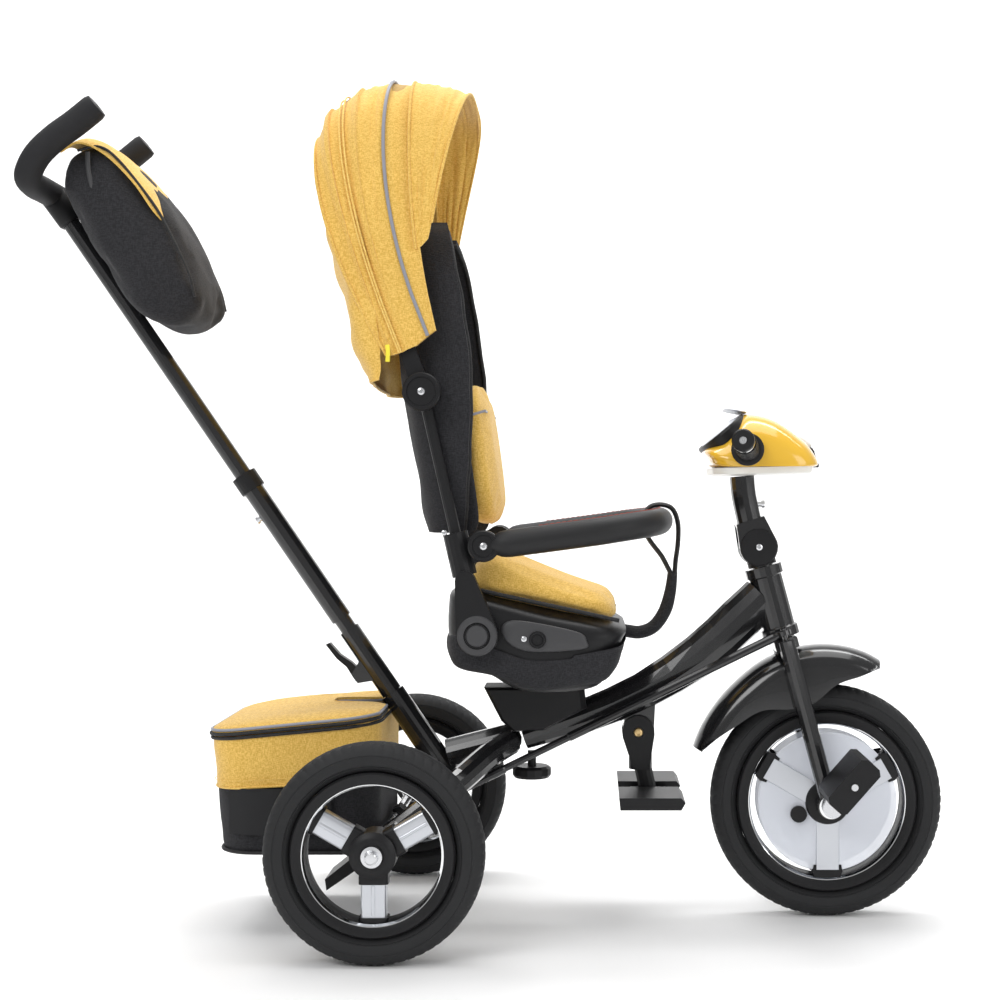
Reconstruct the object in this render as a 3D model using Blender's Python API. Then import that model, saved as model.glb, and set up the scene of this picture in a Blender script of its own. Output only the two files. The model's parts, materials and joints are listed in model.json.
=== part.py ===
"""A child's tricycle with a parent's push bar, a turning seat, a tilting canopy and a fold-down handlebar.

Metres, +Z up, +X forward, +Y to the rider's left. The ground is Z = 0.
"""

import math

import bmesh
import bpy
from mathutils import Matrix, Vector

for old in list(bpy.data.objects):
    bpy.data.objects.remove(old)

# Driving dimensions
REAR_AXLE_X = -0.1182  # sets the middle of the whole length on X = 0
WHEELBASE = 0.550
REAR_WHEEL_RADIUS = 0.128
FRONT_WHEEL_RADIUS = 0.148
REAR_TRACK = 0.450
TYRE_WIDTH = 0.046
TYRE_HEIGHT = 0.033
SPOKE_COUNT = 3
SPOKE_WIDTH = 0.030
AXLE_RADIUS = 0.006
HEAD_ANGLE = math.radians(15.0)
PUSH_BAR_ANGLE = math.radians(34.4)
PUSH_BAR_FOOT = (0.0804, 0.1578)  # forward of the rear axle, and above the ground
HANDLE_TOP_ALONG = 0.930
HANDLE_HALF_WIDTH = 0.112
HANDLE_RADIUS = 0.0165
SEAT_HALF_WIDTH = 0.148
SWIVEL_X = 0.173  # forward of the rear axle
CANOPY_HALF_WIDTH = 0.168
BASKET_HALF_WIDTH = 0.130
PEDAL_CRANK = 0.045
STEER_LEVER = 0.046

# Clearances
TOUCH_GAP = 0.0003  # pieces that touch and don't move
RUN_GAP = 0.0004  # pieces that turn or slide in each other
SIDE_GAP = 0.0006

# Mesh fineness
TUBE_SIDES = 12
DISC_SIDES = 20
WHEEL_SIDES = 36

UP = Vector((0.0, 0.0, 1.0))
ACROSS = Vector((0.0, 1.0, 0.0))
SIDES = (("right", -1.0), ("left", 1.0))

FINISHES = {
    "gloss_black_paint": ((0.012, 0.012, 0.013), 0.22, 0.0),
    "black_plastic": ((0.020, 0.020, 0.022), 0.45, 0.0),
    "black_fabric": ((0.018, 0.018, 0.021), 0.90, 0.0),
    "yellow_fabric": ((0.76, 0.46, 0.06), 0.85, 0.0),
    "yellow_plastic": ((0.81, 0.51, 0.045), 0.25, 0.0),
    "tyre_rubber": ((0.030, 0.031, 0.033), 0.75, 0.0),
    "grip_foam": ((0.022, 0.022, 0.024), 0.80, 0.0),
    "zinc_steel": ((0.62, 0.63, 0.65), 0.30, 1.0),
    "clear_cover": ((0.85, 0.87, 0.92), 0.30, 0.0),
    "pale_plastic": ((0.75, 0.72, 0.64), 0.40, 0.0),
    "bumper_leather": ((0.020, 0.020, 0.021), 0.55, 0.0),
}


def material(finish):
    """The Principled material of a finish, made once."""
    if finish in bpy.data.materials:
        return bpy.data.materials[finish]
    made = bpy.data.materials.new(finish)
    made.use_nodes = True
    colour, roughness, metallic = FINISHES[finish]
    shader = made.node_tree.nodes["Principled BSDF"]
    shader.inputs["Base Color"].default_value = (*colour, 1.0)
    shader.inputs["Roughness"].default_value = roughness
    shader.inputs["Metallic"].default_value = metallic
    return made


def place(forward, height, across=0.0):
    """A point given forward of the rear axle, above the ground and to the left."""
    return Vector((REAR_AXLE_X + forward, across, height))


def object_from(name, bm, finish):
    bmesh.ops.remove_doubles(bm, verts=bm.verts, dist=1e-6)
    bmesh.ops.recalc_face_normals(bm, faces=bm.faces)
    mesh = bpy.data.meshes.new(name)
    bm.to_mesh(mesh)
    bm.free()
    mesh.materials.append(material(finish))
    obj = bpy.data.objects.new(name, mesh)
    bpy.context.scene.collection.objects.link(obj)
    return obj


def loft(name, rings, finish, closed=False):
    """A skin over rings of points. A closed one joins its last ring to its first; an open one is capped."""
    bm = bmesh.new()
    rows = [[bm.verts.new(point) for point in ring] for ring in rings]
    count = len(rings[0])
    pairs = list(zip(rows, rows[1:] + rows[:1])) if closed else list(zip(rows, rows[1:]))
    for first, second in pairs:
        for i in range(count):
            j = (i + 1) % count
            bm.faces.new((first[i], first[j], second[j], second[i]))
    if not closed:
        bm.faces.new(rows[0])
        bm.faces.new(rows[-1][::-1])
    return object_from(name, bm, finish)


def smooth_path(points, steps=4):
    """A curve through the points, with this many pieces between each two."""
    padded = [2 * points[0] - points[1], *points, 2 * points[-1] - points[-2]]
    path = []
    for i in range(1, len(padded) - 2):
        p0, p1, p2, p3 = padded[i - 1 : i + 3]
        for k in range(steps):
            t = k / steps
            path.append(
                0.5
                * (
                    2 * p1
                    + (p2 - p0) * t
                    + (2 * p0 - 5 * p1 + 4 * p2 - p3) * t**2
                    + (3 * p1 - p0 - 3 * p2 + p3) * t**3
                )
            )
    path.append(points[-1].copy())
    return path


def rings_along(path, sizes, across, sides, closed=False, flat=2.0):
    """Rings round a path. Each size is (half width across, half height); flat above 2 squares the ring."""
    rings = []
    last = len(path) - 1
    side = across.copy()
    for i, point in enumerate(path):
        if closed:
            ahead = path[(i + 1) % len(path)] - path[i - 1]
        else:
            ahead = path[min(i + 1, last)] - path[max(i - 1, 0)]
        ahead.normalize()
        side = (side - ahead * side.dot(ahead)).normalized()
        over = side.cross(ahead)
        half_width, half_height = sizes[i]
        ring = []
        for k in range(sides):
            angle = 2 * math.pi * (k + 0.5) / sides
            c, s = math.cos(angle), math.sin(angle)
            power = 2.0 / flat
            w = math.copysign(abs(c) ** power, c)
            h = math.copysign(abs(s) ** power, s)
            ring.append(point + side * (half_width * w) + over * (half_height * h))
        rings.append(ring)
    return rings


def tube(name, path, radius, finish, sides=TUBE_SIDES, across=ACROSS, bore=None):
    """A round bar along a path, or a pipe where a bore radius is given."""
    radii = radius if isinstance(radius, list) else [radius] * len(path)
    outer = rings_along(path, [(r, r) for r in radii], across, sides)
    if bore is None:
        return loft(name, outer, finish)
    inner = rings_along(path, [(bore, bore)] * len(path), across, sides)
    return loft(name, outer + inner[::-1], finish, closed=True)


def oval_bar(name, path, sizes, finish, sides=TUBE_SIDES, across=ACROSS, flat=2.0, closed=False):
    return loft(name, rings_along(path, sizes, across, sides, closed, flat), finish, closed)


def turned(name, profile, centre, axis, finish, segments=DISC_SIDES, hollow=False):
    """A turned shape: the profile lists (radius, distance along the axis from the centre)."""
    axis = axis.normalized()
    first = axis.orthogonal() if abs(axis.y) < 0.999 else UP.copy()
    first = (first - axis * first.dot(axis)).normalized()
    second = axis.cross(first)
    bm = bmesh.new()
    rows = []
    for radius, along in profile:
        middle = centre + axis * along
        if radius < 1e-9:
            rows.append([bm.verts.new(middle)] * segments)
            continue
        ring = []
        for k in range(segments):
            angle = 2 * math.pi * (k + 0.5) / segments
            offset = first * math.cos(angle) + second * math.sin(angle)
            ring.append(bm.verts.new(middle + offset * radius))
        rows.append(ring)
    pairs = list(zip(rows, rows[1:] + rows[:1])) if hollow else list(zip(rows, rows[1:]))
    for low, high in pairs:
        for i in range(segments):
            j = (i + 1) % segments
            corners = []
            for corner in (low[i], low[j], high[j], high[i]):
                if corner not in corners:
                    corners.append(corner)
            if len(corners) > 2:
                bm.faces.new(corners)
    return object_from(name, bm, finish)


def cylinder(name, start, end, radius, finish, segments=DISC_SIDES, bore=None):
    """A round bar between two points, or a ring where a bore radius is given."""
    length = (end - start).length
    if bore is None:
        profile = [(0.0, 0.0), (radius, 0.0), (radius, length), (0.0, length)]
        return turned(name, profile, start, end - start, finish, segments)
    profile = [(bore, 0.0), (radius, 0.0), (radius, length), (bore, length)]
    return turned(name, profile, start, end - start, finish, segments, hollow=True)


def slab(name, outline, low_y, high_y, finish):
    """An outline of (forward, height) points, given thickness across."""
    rings = [[place(x, z, y) for x, z in outline] for y in sorted((low_y, high_y))]
    return loft(name, rings, finish)


def pillow(name, outline, stations, finish, middle=0.0):
    """An outline of (forward, height) drawn in towards its middle at each (across, share) station."""
    centre_x = sum(x for x, _ in outline) / len(outline)
    centre_z = sum(z for _, z in outline) / len(outline)
    rings = []
    for across, share in stations:
        ring = []
        for x, z in outline:
            ring.append(
                place(centre_x + (x - centre_x) * share, centre_z + (z - centre_z) * share, middle + across)
            )
        rings.append(ring)
    return loft(name, rings, finish)


def block(name, low, high, finish):
    outline = [(low[0], low[2]), (high[0], low[2]), (high[0], high[2]), (low[0], high[2])]
    return slab(name, outline, low[1], high[1], finish)


def changed(obj, others, operation):
    """The object with other solids joined to it or cut from it; the others are used up."""
    for other in others:
        modifier = obj.modifiers.new(operation.lower(), "BOOLEAN")
        modifier.operation = operation
        modifier.object = other
    graph = bpy.context.evaluated_depsgraph_get()
    mesh = bpy.data.meshes.new_from_object(obj.evaluated_get(graph))
    obj.modifiers.clear()
    obj.data = mesh
    for other in others:
        bpy.data.objects.remove(other)
    return obj


def joined(obj, *others):
    return changed(obj, others, "UNION")


def cut(obj, *others):
    return changed(obj, others, "DIFFERENCE")


def disc_outline(centre, radius, count=DISC_SIDES, start=0.0, sweep=2 * math.pi):
    """Points of a circle or arc as (forward, height)."""
    steps = count if abs(sweep) > 6.28 else count - 1
    return [
        (
            centre[0] + radius * math.cos(start + sweep * k / steps),
            centre[1] + radius * math.sin(start + sweep * k / steps),
        )
        for k in range(count)
    ]


def teardrop(low, low_radius, high, high_radius, count=7):
    """The outline round two circles, as (forward, height) points."""
    run_x, run_z = high[0] - low[0], high[1] - low[1]
    heading = math.atan2(run_z, run_x)
    spread = math.acos((low_radius - high_radius) / math.hypot(run_x, run_z))
    lower = disc_outline(low, low_radius, count + 3, heading + spread, 2 * (math.pi - spread))
    upper = disc_outline(high, high_radius, count, heading - spread, 2 * spread)
    return lower + upper


def mirror_path(half):
    """A path over the middle plane from its right-hand half, which ends on that plane."""
    return half + [Vector((p.x, -p.y, p.z)) for p in half[-2::-1]]


# Main axes
REAR_AXLE = place(0.0, REAR_WHEEL_RADIUS)
FRONT_AXLE = place(WHEELBASE, FRONT_WHEEL_RADIUS)
STEER_UP = Vector((-math.sin(HEAD_ANGLE), 0.0, math.cos(HEAD_ANGLE)))
STEER_AHEAD = Vector((math.cos(HEAD_ANGLE), 0.0, math.sin(HEAD_ANGLE)))
BAR_FOOT = place(*PUSH_BAR_FOOT)
BAR_UP = Vector((-math.sin(PUSH_BAR_ANGLE), 0.0, math.cos(PUSH_BAR_ANGLE)))
BAR_BACK = Vector((-math.cos(PUSH_BAR_ANGLE), 0.0, -math.sin(PUSH_BAR_ANGLE)))


def on_steer(along, ahead=0.0, across=0.0):
    """A point by its distance up the steering axis from the front axle, ahead of it and across."""
    return FRONT_AXLE + STEER_UP * along + STEER_AHEAD * ahead + ACROSS * across


def on_bar(along, back=0.0, across=0.0):
    """A point by its distance up the push bar from its foot, behind its axis and across."""
    return BAR_FOOT + BAR_UP * along + BAR_BACK * back + ACROSS * across


# Steering head
HEAD_LOW = 0.2164
HEAD_HIGH = 0.3096
HEAD_RADIUS = 0.021
HEAD_CUP_RADIUS = 0.024
HEAD_CUP_HEIGHT = 0.012
STEERER_RADIUS = 0.013


def make_head_tube():
    bore = STEERER_RADIUS + RUN_GAP
    length = HEAD_HIGH - HEAD_LOW
    profile = [
        (bore, 0.0),
        (HEAD_CUP_RADIUS, 0.0),
        (HEAD_CUP_RADIUS, HEAD_CUP_HEIGHT),
        (HEAD_RADIUS, HEAD_CUP_HEIGHT + 0.002),
        (HEAD_RADIUS, length - HEAD_CUP_HEIGHT - 0.002),
        (HEAD_CUP_RADIUS, length - HEAD_CUP_HEIGHT),
        (HEAD_CUP_RADIUS, length),
        (bore, length),
    ]
    turned("head_tube", profile, on_steer(HEAD_LOW), STEER_UP, "gloss_black_paint", hollow=True)


# Main tube: (forward, height, depth) from the junction with the rear arms to the head tube
BOOM_STATIONS = (
    (0.163, 0.2286, 0.034),
    (0.185, 0.2360, 0.037),
    (0.243, 0.2550, 0.044),
    (0.316, 0.2865, 0.048),
    (0.389, 0.3330, 0.056),
    (0.440, 0.3790, 0.058),
    (0.470, 0.4090, 0.055),
)
BOOM_WIDTH = 0.038
FOOTREST_PIVOT = (0.3095, 0.2355)
FOOTREST_TONGUE_RADIUS = 0.0200
FOOTREST_TONGUE_HALF = 0.008


def boom_solid(name, extra=0.0, finish="gloss_black_paint"):
    """The main tube's oval shape, grown by extra all round where it serves as a cutter."""
    points = [place(x, z) for x, z, _ in BOOM_STATIONS]
    steps = 2
    path = smooth_path(points, steps)
    depths = []
    for (_, _, low), (_, _, high) in zip(BOOM_STATIONS, BOOM_STATIONS[1:]):
        depths += [low + (high - low) * k / steps for k in range(steps)]
    depths.append(BOOM_STATIONS[-1][2])
    sizes = [(BOOM_WIDTH / 2 + extra, depth / 2 + extra) for depth in depths]
    return oval_bar(name, path, sizes, finish, sides=14)


def make_main_tube():
    boom = boom_solid("main_tube")
    head_room = cylinder(
        "head_room",
        on_steer(HEAD_LOW - 0.05),
        on_steer(HEAD_HIGH + 0.05),
        HEAD_RADIUS + TOUCH_GAP,
        "zinc_steel"
    )
    low_cup_room = cylinder(
        "low_cup_room",
        on_steer(HEAD_LOW - 0.004),
        on_steer(HEAD_LOW + HEAD_CUP_HEIGHT + 0.003),
        HEAD_CUP_RADIUS + TOUCH_GAP,
        "zinc_steel",
    )
    high_cup_room = cylinder(
        "high_cup_room",
        on_steer(HEAD_HIGH - HEAD_CUP_HEIGHT - 0.003),
        on_steer(HEAD_HIGH + 0.004),
        HEAD_CUP_RADIUS + TOUCH_GAP,
        "zinc_steel",
    )
    tongue_top = (FOOTREST_PIVOT[0] + 0.004, FOOTREST_PIVOT[1] + 0.038)
    tongue = slab(
        "tongue",
        teardrop(FOOTREST_PIVOT, FOOTREST_TONGUE_RADIUS, tongue_top, 0.018),
        -FOOTREST_TONGUE_HALF,
        FOOTREST_TONGUE_HALF,
        "gloss_black_paint",
    )
    joined(boom, tongue)
    cut(boom, head_room, low_cup_room, high_cup_room)


# Rear of the frame
STRUT_RADIUS = 0.0185
STRUT_ENDS = ((0.0655, 0.2065), (0.1500, 0.2280))
ARM_RADIUS = 0.016
ARM_POINTS = (
    (0.146, 0.2230, 0.014),
    (0.121, 0.2115, 0.050),
    (0.090, 0.1890, 0.090),
    (0.046, 0.1560, 0.130),
)
ARM_END_GAP = 0.009  # between the end of the arm and the wheel's hub
SOCKET_RADIUS = 0.016
SOCKET_LOW = 0.030
SOCKET_HIGH = 0.1539
SPINDLE_RADIUS = 0.0108
HUB_HALF = 0.0235
HUB_RADIUS = 0.0200


def strut_solid(name, extra=0.0, reach=0.0):
    start, end = (place(*point) for point in STRUT_ENDS)
    end = end + (end - start).normalized() * reach
    return cylinder(name, start, end, STRUT_RADIUS + extra, "gloss_black_paint", TUBE_SIDES + 4)


def make_rear_frame():
    socket_bore = SPINDLE_RADIUS + RUN_GAP
    cylinder(
        "push_bar_socket",
        on_bar(SOCKET_LOW),
        on_bar(SOCKET_HIGH),
        SOCKET_RADIUS,
        "gloss_black_paint",
        bore=socket_bore,
    )
    strut = strut_solid("centre_strut")
    socket_room = cylinder(
        "socket_room", on_bar(SOCKET_LOW - 0.05), on_bar(SOCKET_HIGH), SOCKET_RADIUS + TOUCH_GAP, "zinc_steel"
    )
    cut(strut, socket_room, boom_solid("boom_room", TOUCH_GAP))
    arm_end = REAR_TRACK / 2 - HUB_HALF - ARM_END_GAP
    for side, sign in SIDES:
        points = [place(x, z, sign * y) for x, z, y in ARM_POINTS]
        points.append(place(0.009, REAR_WHEEL_RADIUS + 0.003, sign * (arm_end - 0.034)))
        points.append(place(0.0, REAR_WHEEL_RADIUS, sign * (arm_end - 0.014)))
        points.append(place(0.0, REAR_WHEEL_RADIUS, sign * arm_end))
        arm = tube(f"rear_arm_{side}", smooth_path(points, 3), ARM_RADIUS, "gloss_black_paint")
        middle = sorted((-sign * 0.05, sign * TOUCH_GAP))
        cut(
            arm,
            strut_solid("strut_room", TOUCH_GAP, 0.006),
            boom_solid("boom_room", TOUCH_GAP),
            block("middle_room", (0.05, middle[0], 0.15), (0.25, middle[1], 0.30), "zinc_steel"),
            cylinder(
                "axle_room",
                place(0.0, REAR_WHEEL_RADIUS, -REAR_TRACK),
                place(0.0, REAR_WHEEL_RADIUS, REAR_TRACK),
                AXLE_RADIUS + TOUCH_GAP,
                "zinc_steel",
                TUBE_SIDES,
            ),
        )
    end = REAR_TRACK / 2 + HUB_HALF + SIDE_GAP
    profile = [
        (0.0, -end - 0.009),
        (0.0075, -end - 0.009),
        (0.0085, -end - 0.0025),
        (0.0120, -end - 0.0022),
        (0.0120, -end),
        (AXLE_RADIUS, -end),
    ]
    profile += [(radius, -along) for radius, along in profile[::-1]]
    turned("rear_axle", profile, REAR_AXLE, ACROSS, "zinc_steel", 16)


# Seat stand on the main tube
STAND_TOP = 0.2945
STAND_HALF_WIDTH = 0.034


def make_seat_stand():
    outline = [
        (0.113, STAND_TOP),
        (0.240, STAND_TOP),
        (0.243, 0.268),
        (0.190, 0.240),
        (0.150, 0.238),
        (0.135, 0.252),
    ]
    stand = pillow(
        "seat_stand",
        outline,
        [
            (-STAND_HALF_WIDTH, 0.90),
            (-STAND_HALF_WIDTH * 0.8, 1.0),
            (STAND_HALF_WIDTH * 0.8, 1.0),
            (STAND_HALF_WIDTH, 0.90),
        ],
        "black_plastic",
    )
    cut(stand, boom_solid("boom_room", TOUCH_GAP), strut_solid("strut_room", TOUCH_GAP, 0.006))


# Basket
BASKET_REAR = -0.216
BASKET_FRONT = -0.0095
BASKET_BOTTOM = 0.100
BASKET_RIM_REAR = 0.2440
BASKET_RIM_FRONT = 0.2640
BASKET_WALL = 0.004
BASKET_CORNER = 0.045
LID_THICKNESS = 0.010
LID_HINGE = (-0.0085, 0.2645)


def rounded_rectangle(rear, front, half_width, corner, steps=4):
    """(forward, across) points of a rectangle with round corners."""
    points = []
    for centre_x, centre_y, start in (
        (front - corner, half_width - corner, 0.0),
        (rear + corner, half_width - corner, 90.0),
        (rear + corner, -half_width + corner, 180.0),
        (front - corner, -half_width + corner, 270.0),
    ):
        for k in range(steps + 1):
            angle = math.radians(start + 90.0 * k / steps)
            points.append((centre_x + corner * math.cos(angle), centre_y + corner * math.sin(angle)))
    return points


def rim_height(forward):
    share = (forward - BASKET_REAR) / (BASKET_FRONT - BASKET_REAR)
    return BASKET_RIM_REAR + (BASKET_RIM_FRONT - BASKET_RIM_REAR) * share


def bar_room():
    """The space that the basket leaves for the push bar."""
    return cylinder("bar_room", on_bar(0.02), on_bar(0.36), SOCKET_RADIUS + 0.005, "zinc_steel")


def make_basket():
    outer = rounded_rectangle(BASKET_REAR, BASKET_FRONT, BASKET_HALF_WIDTH, BASKET_CORNER)
    inner = rounded_rectangle(
        BASKET_REAR + BASKET_WALL,
        BASKET_FRONT - BASKET_WALL,
        BASKET_HALF_WIDTH - BASKET_WALL,
        BASKET_CORNER - BASKET_WALL,
    )
    foot = rounded_rectangle(BASKET_REAR + 0.012, BASKET_FRONT, BASKET_HALF_WIDTH - 0.008, BASKET_CORNER)
    inner_foot = rounded_rectangle(
        BASKET_REAR + 0.012 + BASKET_WALL,
        BASKET_FRONT - BASKET_WALL,
        BASKET_HALF_WIDTH - 0.008 - BASKET_WALL,
        BASKET_CORNER - BASKET_WALL,
    )
    rings = [
        [place(x, BASKET_BOTTOM, y) for x, y in foot],
        [place(x, rim_height(x), y) for x, y in outer],
        [place(x, rim_height(x), y) for x, y in inner],
        [place(x, BASKET_BOTTOM + BASKET_WALL, y) for x, y in inner_foot],
    ]
    basket = loft("basket_body", rings, "black_fabric")
    cut(basket, bar_room())
    lid_rings = []
    for inset, lift in ((0.0, SIDE_GAP), (0.0, LID_THICKNESS), (0.018, LID_THICKNESS + 0.006)):
        outline = rounded_rectangle(
            BASKET_REAR + inset, BASKET_FRONT - inset, BASKET_HALF_WIDTH - inset, BASKET_CORNER - inset
        )
        lid_rings.append([place(x, rim_height(x) + lift, y) for x, y in outline])
    lid = loft("basket_lid", lid_rings, "yellow_fabric")
    latch_slot = block("latch_slot", (-0.075, -0.016, 0.20), (0.0, 0.016, 0.30), "zinc_steel")
    cut(lid, bar_room(), latch_slot)


# Fork and front mudguard
CROWN_LOW = 0.2035
CROWN_HIGH = 0.2155
CROWN_HALF_DEPTH = 0.0150
BLADE_RADIUS = 0.011
BLADE_ACROSS = 0.048
DROPOUT_RADIUS = 0.0165
DROPOUT_HALF = 0.0040
CRANKSHAFT_RADIUS = 0.0065
LEVER_EYE_ALONG = 0.2250
KNUCKLE_ALONG = 0.3357
KNUCKLE_RADIUS = 0.0245
KNUCKLE_HALF = 0.0125
CHEEK_OUTER = 0.0200
PIVOT_PIN_RADIUS = 0.0040
EYE_STUD_RADIUS = 0.0032


def make_fork():
    steerer_top = HEAD_HIGH + 0.0010
    fork = cylinder("fork", on_steer(CROWN_LOW), on_steer(steerer_top), STEERER_RADIUS, "gloss_black_paint")
    half_width = BLADE_ACROSS + BLADE_RADIUS * 0.7
    low_ring, high_ring = [], []
    for ring, along in ((low_ring, CROWN_LOW), (high_ring, CROWN_HIGH)):
        for ahead, across in (
            (-CROWN_HALF_DEPTH, -half_width * 0.8),
            (-CROWN_HALF_DEPTH * 0.5, -half_width),
            (CROWN_HALF_DEPTH * 0.5, -half_width),
            (CROWN_HALF_DEPTH, -half_width * 0.8),
            (CROWN_HALF_DEPTH, half_width * 0.8),
            (CROWN_HALF_DEPTH * 0.5, half_width),
            (-CROWN_HALF_DEPTH * 0.5, half_width),
            (-CROWN_HALF_DEPTH, half_width * 0.8),
        ):
            ring.append(on_steer(along, ahead, across))
    crown = loft("crown", [low_ring, high_ring], "gloss_black_paint")
    parts = [crown]
    for _, sign in SIDES:
        across = sign * BLADE_ACROSS
        parts.append(
            cylinder(
                "blade", on_steer(0.004, 0.0, across), on_steer(
                    CROWN_HIGH - 0.001, 0.0, across
                ), BLADE_RADIUS,
                "gloss_black_paint", TUBE_SIDES,
            )
        )
        parts.append(
            cylinder(
                "dropout", FRONT_AXLE + ACROSS * (across - DROPOUT_HALF * 1.6),
                FRONT_AXLE + ACROSS * (across + DROPOUT_HALF * 1.6), DROPOUT_RADIUS, "gloss_black_paint",
            )
        )
    parts.append(
        cylinder(
            "stud", on_steer(CROWN_HIGH - 0.004, 0.0, -STEER_LEVER), on_steer(
                LEVER_EYE_ALONG + 0.005, 0.0, -STEER_LEVER
            ),
            EYE_STUD_RADIUS, "zinc_steel", TUBE_SIDES,
        )
    )
    joined(fork, *parts)
    cut(
        fork,
        cylinder(
            "shaft_room", FRONT_AXLE - ACROSS * 0.08, FRONT_AXLE + ACROSS * 0.08, CRANKSHAFT_RADIUS + RUN_GAP,
            "zinc_steel", 16,
        ),
    )


def make_fold_knuckle():
    centre = on_steer(KNUCKLE_ALONG)
    knuckle = cylinder(
        "fold_knuckle",
        centre - ACROSS * KNUCKLE_HALF,
        centre + ACROSS * KNUCKLE_HALF,
        KNUCKLE_RADIUS,
        "black_plastic"
    )
    neck = cylinder(
        "neck", on_steer(HEAD_HIGH + 0.0014), on_steer(KNUCKLE_ALONG - 0.010), 0.0185, "black_plastic"
    )
    for _, sign in SIDES:
        room_start = centre + ACROSS * (sign * KNUCKLE_HALF)
        room_end = centre + ACROSS * (sign * 0.03)
        cut(neck, cylinder("cheek_room", room_start, room_end, KNUCKLE_RADIUS + SIDE_GAP, "zinc_steel"))
    joined(
        knuckle,
        neck,
        cylinder(
            "pin", centre - ACROSS * (CHEEK_OUTER + 0.002), centre + ACROSS * (CHEEK_OUTER + 0.002),
            PIVOT_PIN_RADIUS, "zinc_steel", TUBE_SIDES,
        ),
    )


# (angle at the front axle in degrees from straight ahead, outer radius, radius of the skirt's lower edge)
GUARD_STATIONS = (
    (69.0, 0.1925, 0.184),
    (76.0, 0.1965, 0.166),
    (86.0, 0.1990, 0.151),
    (98.0, 0.1995, 0.129),
    (112.0, 0.1970, 0.129),
    (126.0, 0.1910, 0.145),
    (140.0, 0.1870, 0.153),
    (151.0, 0.1850, 0.165),
    (158.0, 0.1835, 0.174),
)
GUARD_HALF_WIDTH = 0.0360
GUARD_WALL = 0.0022


def make_mudguard():
    rings = []
    for degrees, outer, skirt in GUARD_STATIONS:
        angle = math.radians(degrees)
        radial = Vector((math.cos(angle), 0.0, math.sin(angle)))
        ring = []
        for wall, turn in ((0.0, 1), (GUARD_WALL, -1)):
            half = GUARD_HALF_WIDTH - wall
            top = outer - wall
            points = [(-half, skirt)]
            for k in range(7):
                bend = math.pi * k / 6
                points.append((-half * math.cos(bend), top - 0.026 + 0.026 * math.sin(bend)))
            points.append((half, skirt))
            for across, radius in points[::turn]:
                radius = max(radius, skirt)
                ring.append(FRONT_AXLE + radial * radius + ACROSS * across)
        rings.append(ring)
    loft("front_mudguard", rings, "gloss_black_paint")


# Wheels
def make_tyre(name, centre, radius):
    tread = radius / math.cos(math.pi / WHEEL_SIDES)
    bead = radius - TYRE_HEIGHT
    half = TYRE_WIDTH / 2
    side = [
        (bead, 0.52 * half),
        (bead + 0.004, 0.80 * half),
        (bead + 0.016, half),
        (bead + 0.027, 0.86 * half),
        (tread, 0.42 * half),
    ]
    profile = side + [(r, -y) for r, y in side[::-1]]
    turned(name, profile, centre, ACROSS, "tyre_rubber", WHEEL_SIDES, hollow=True)


RIM_DEPTH = 0.0165
RIM_HALF = 0.0190
SPOKE_HALF_THICK = 0.0110
COVER_INNER = 0.0205
COVER_OUTER = 0.0225
FRONT_HUB_HALF = 0.0300
FRONT_HUB_FLANGE = 0.0330
FREEWHEEL_KNOB = (-0.037, -0.015)
FREEWHEEL_RADIUS = 0.0105


def spoke_angles():
    return [math.radians(-90.0 + 360.0 * k / SPOKE_COUNT) for k in range(SPOKE_COUNT)]


def make_rim(name, centre, wheel_radius, hub_profile, bore):
    outer = wheel_radius - TYRE_HEIGHT - TOUCH_GAP
    inner = outer - RIM_DEPTH
    profile = [
        (inner, -RIM_HALF * 0.9),
        (outer, -RIM_HALF * 0.48),
        (outer, RIM_HALF * 0.48),
        (inner, RIM_HALF * 0.9),
    ]
    rim = turned(name, profile, centre, ACROSS, "black_plastic", WHEEL_SIDES, hollow=True)
    parts = [turned("hub", hub_profile, centre, ACROSS, "black_plastic", 20)]
    for angle in spoke_angles():
        out = Vector((math.cos(angle), 0.0, math.sin(angle)))
        along = ACROSS.cross(out)
        ring_low, ring_high = [], []
        for ring, reach in ((ring_low, 0.010), (ring_high, inner + RIM_DEPTH * 0.4)):
            for sideways, across in ((-1, -1), (1, -1), (1, 1), (-1, 1)):
                ring.append(
                    centre + out * reach + along * (sideways * SPOKE_WIDTH / 2) + ACROSS * (across * SPOKE_HALF_THICK)
                )
        parts.append(loft("spoke", [ring_low, ring_high], "zinc_steel"))
    joined(rim, *parts)
    cut(rim, cylinder("bore_room", centre - ACROSS * 0.05, centre + ACROSS * 0.05, bore, "zinc_steel", 16))


def make_rear_wheels():
    for side, sign in SIDES:
        centre = REAR_AXLE + ACROSS * (sign * REAR_TRACK / 2)
        make_tyre(f"rear_tyre_{side}", centre, REAR_WHEEL_RADIUS)
        hub = [
            (0.0, -HUB_HALF),
            (HUB_RADIUS, -HUB_HALF),
            (0.026, -0.012),
            (0.026, 0.012),
            (HUB_RADIUS, HUB_HALF),
        ]
        hub.append((0.0, HUB_HALF))
        make_rim(f"rear_rim_{side}", centre, REAR_WHEEL_RADIUS, hub, AXLE_RADIUS + RUN_GAP)


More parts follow.
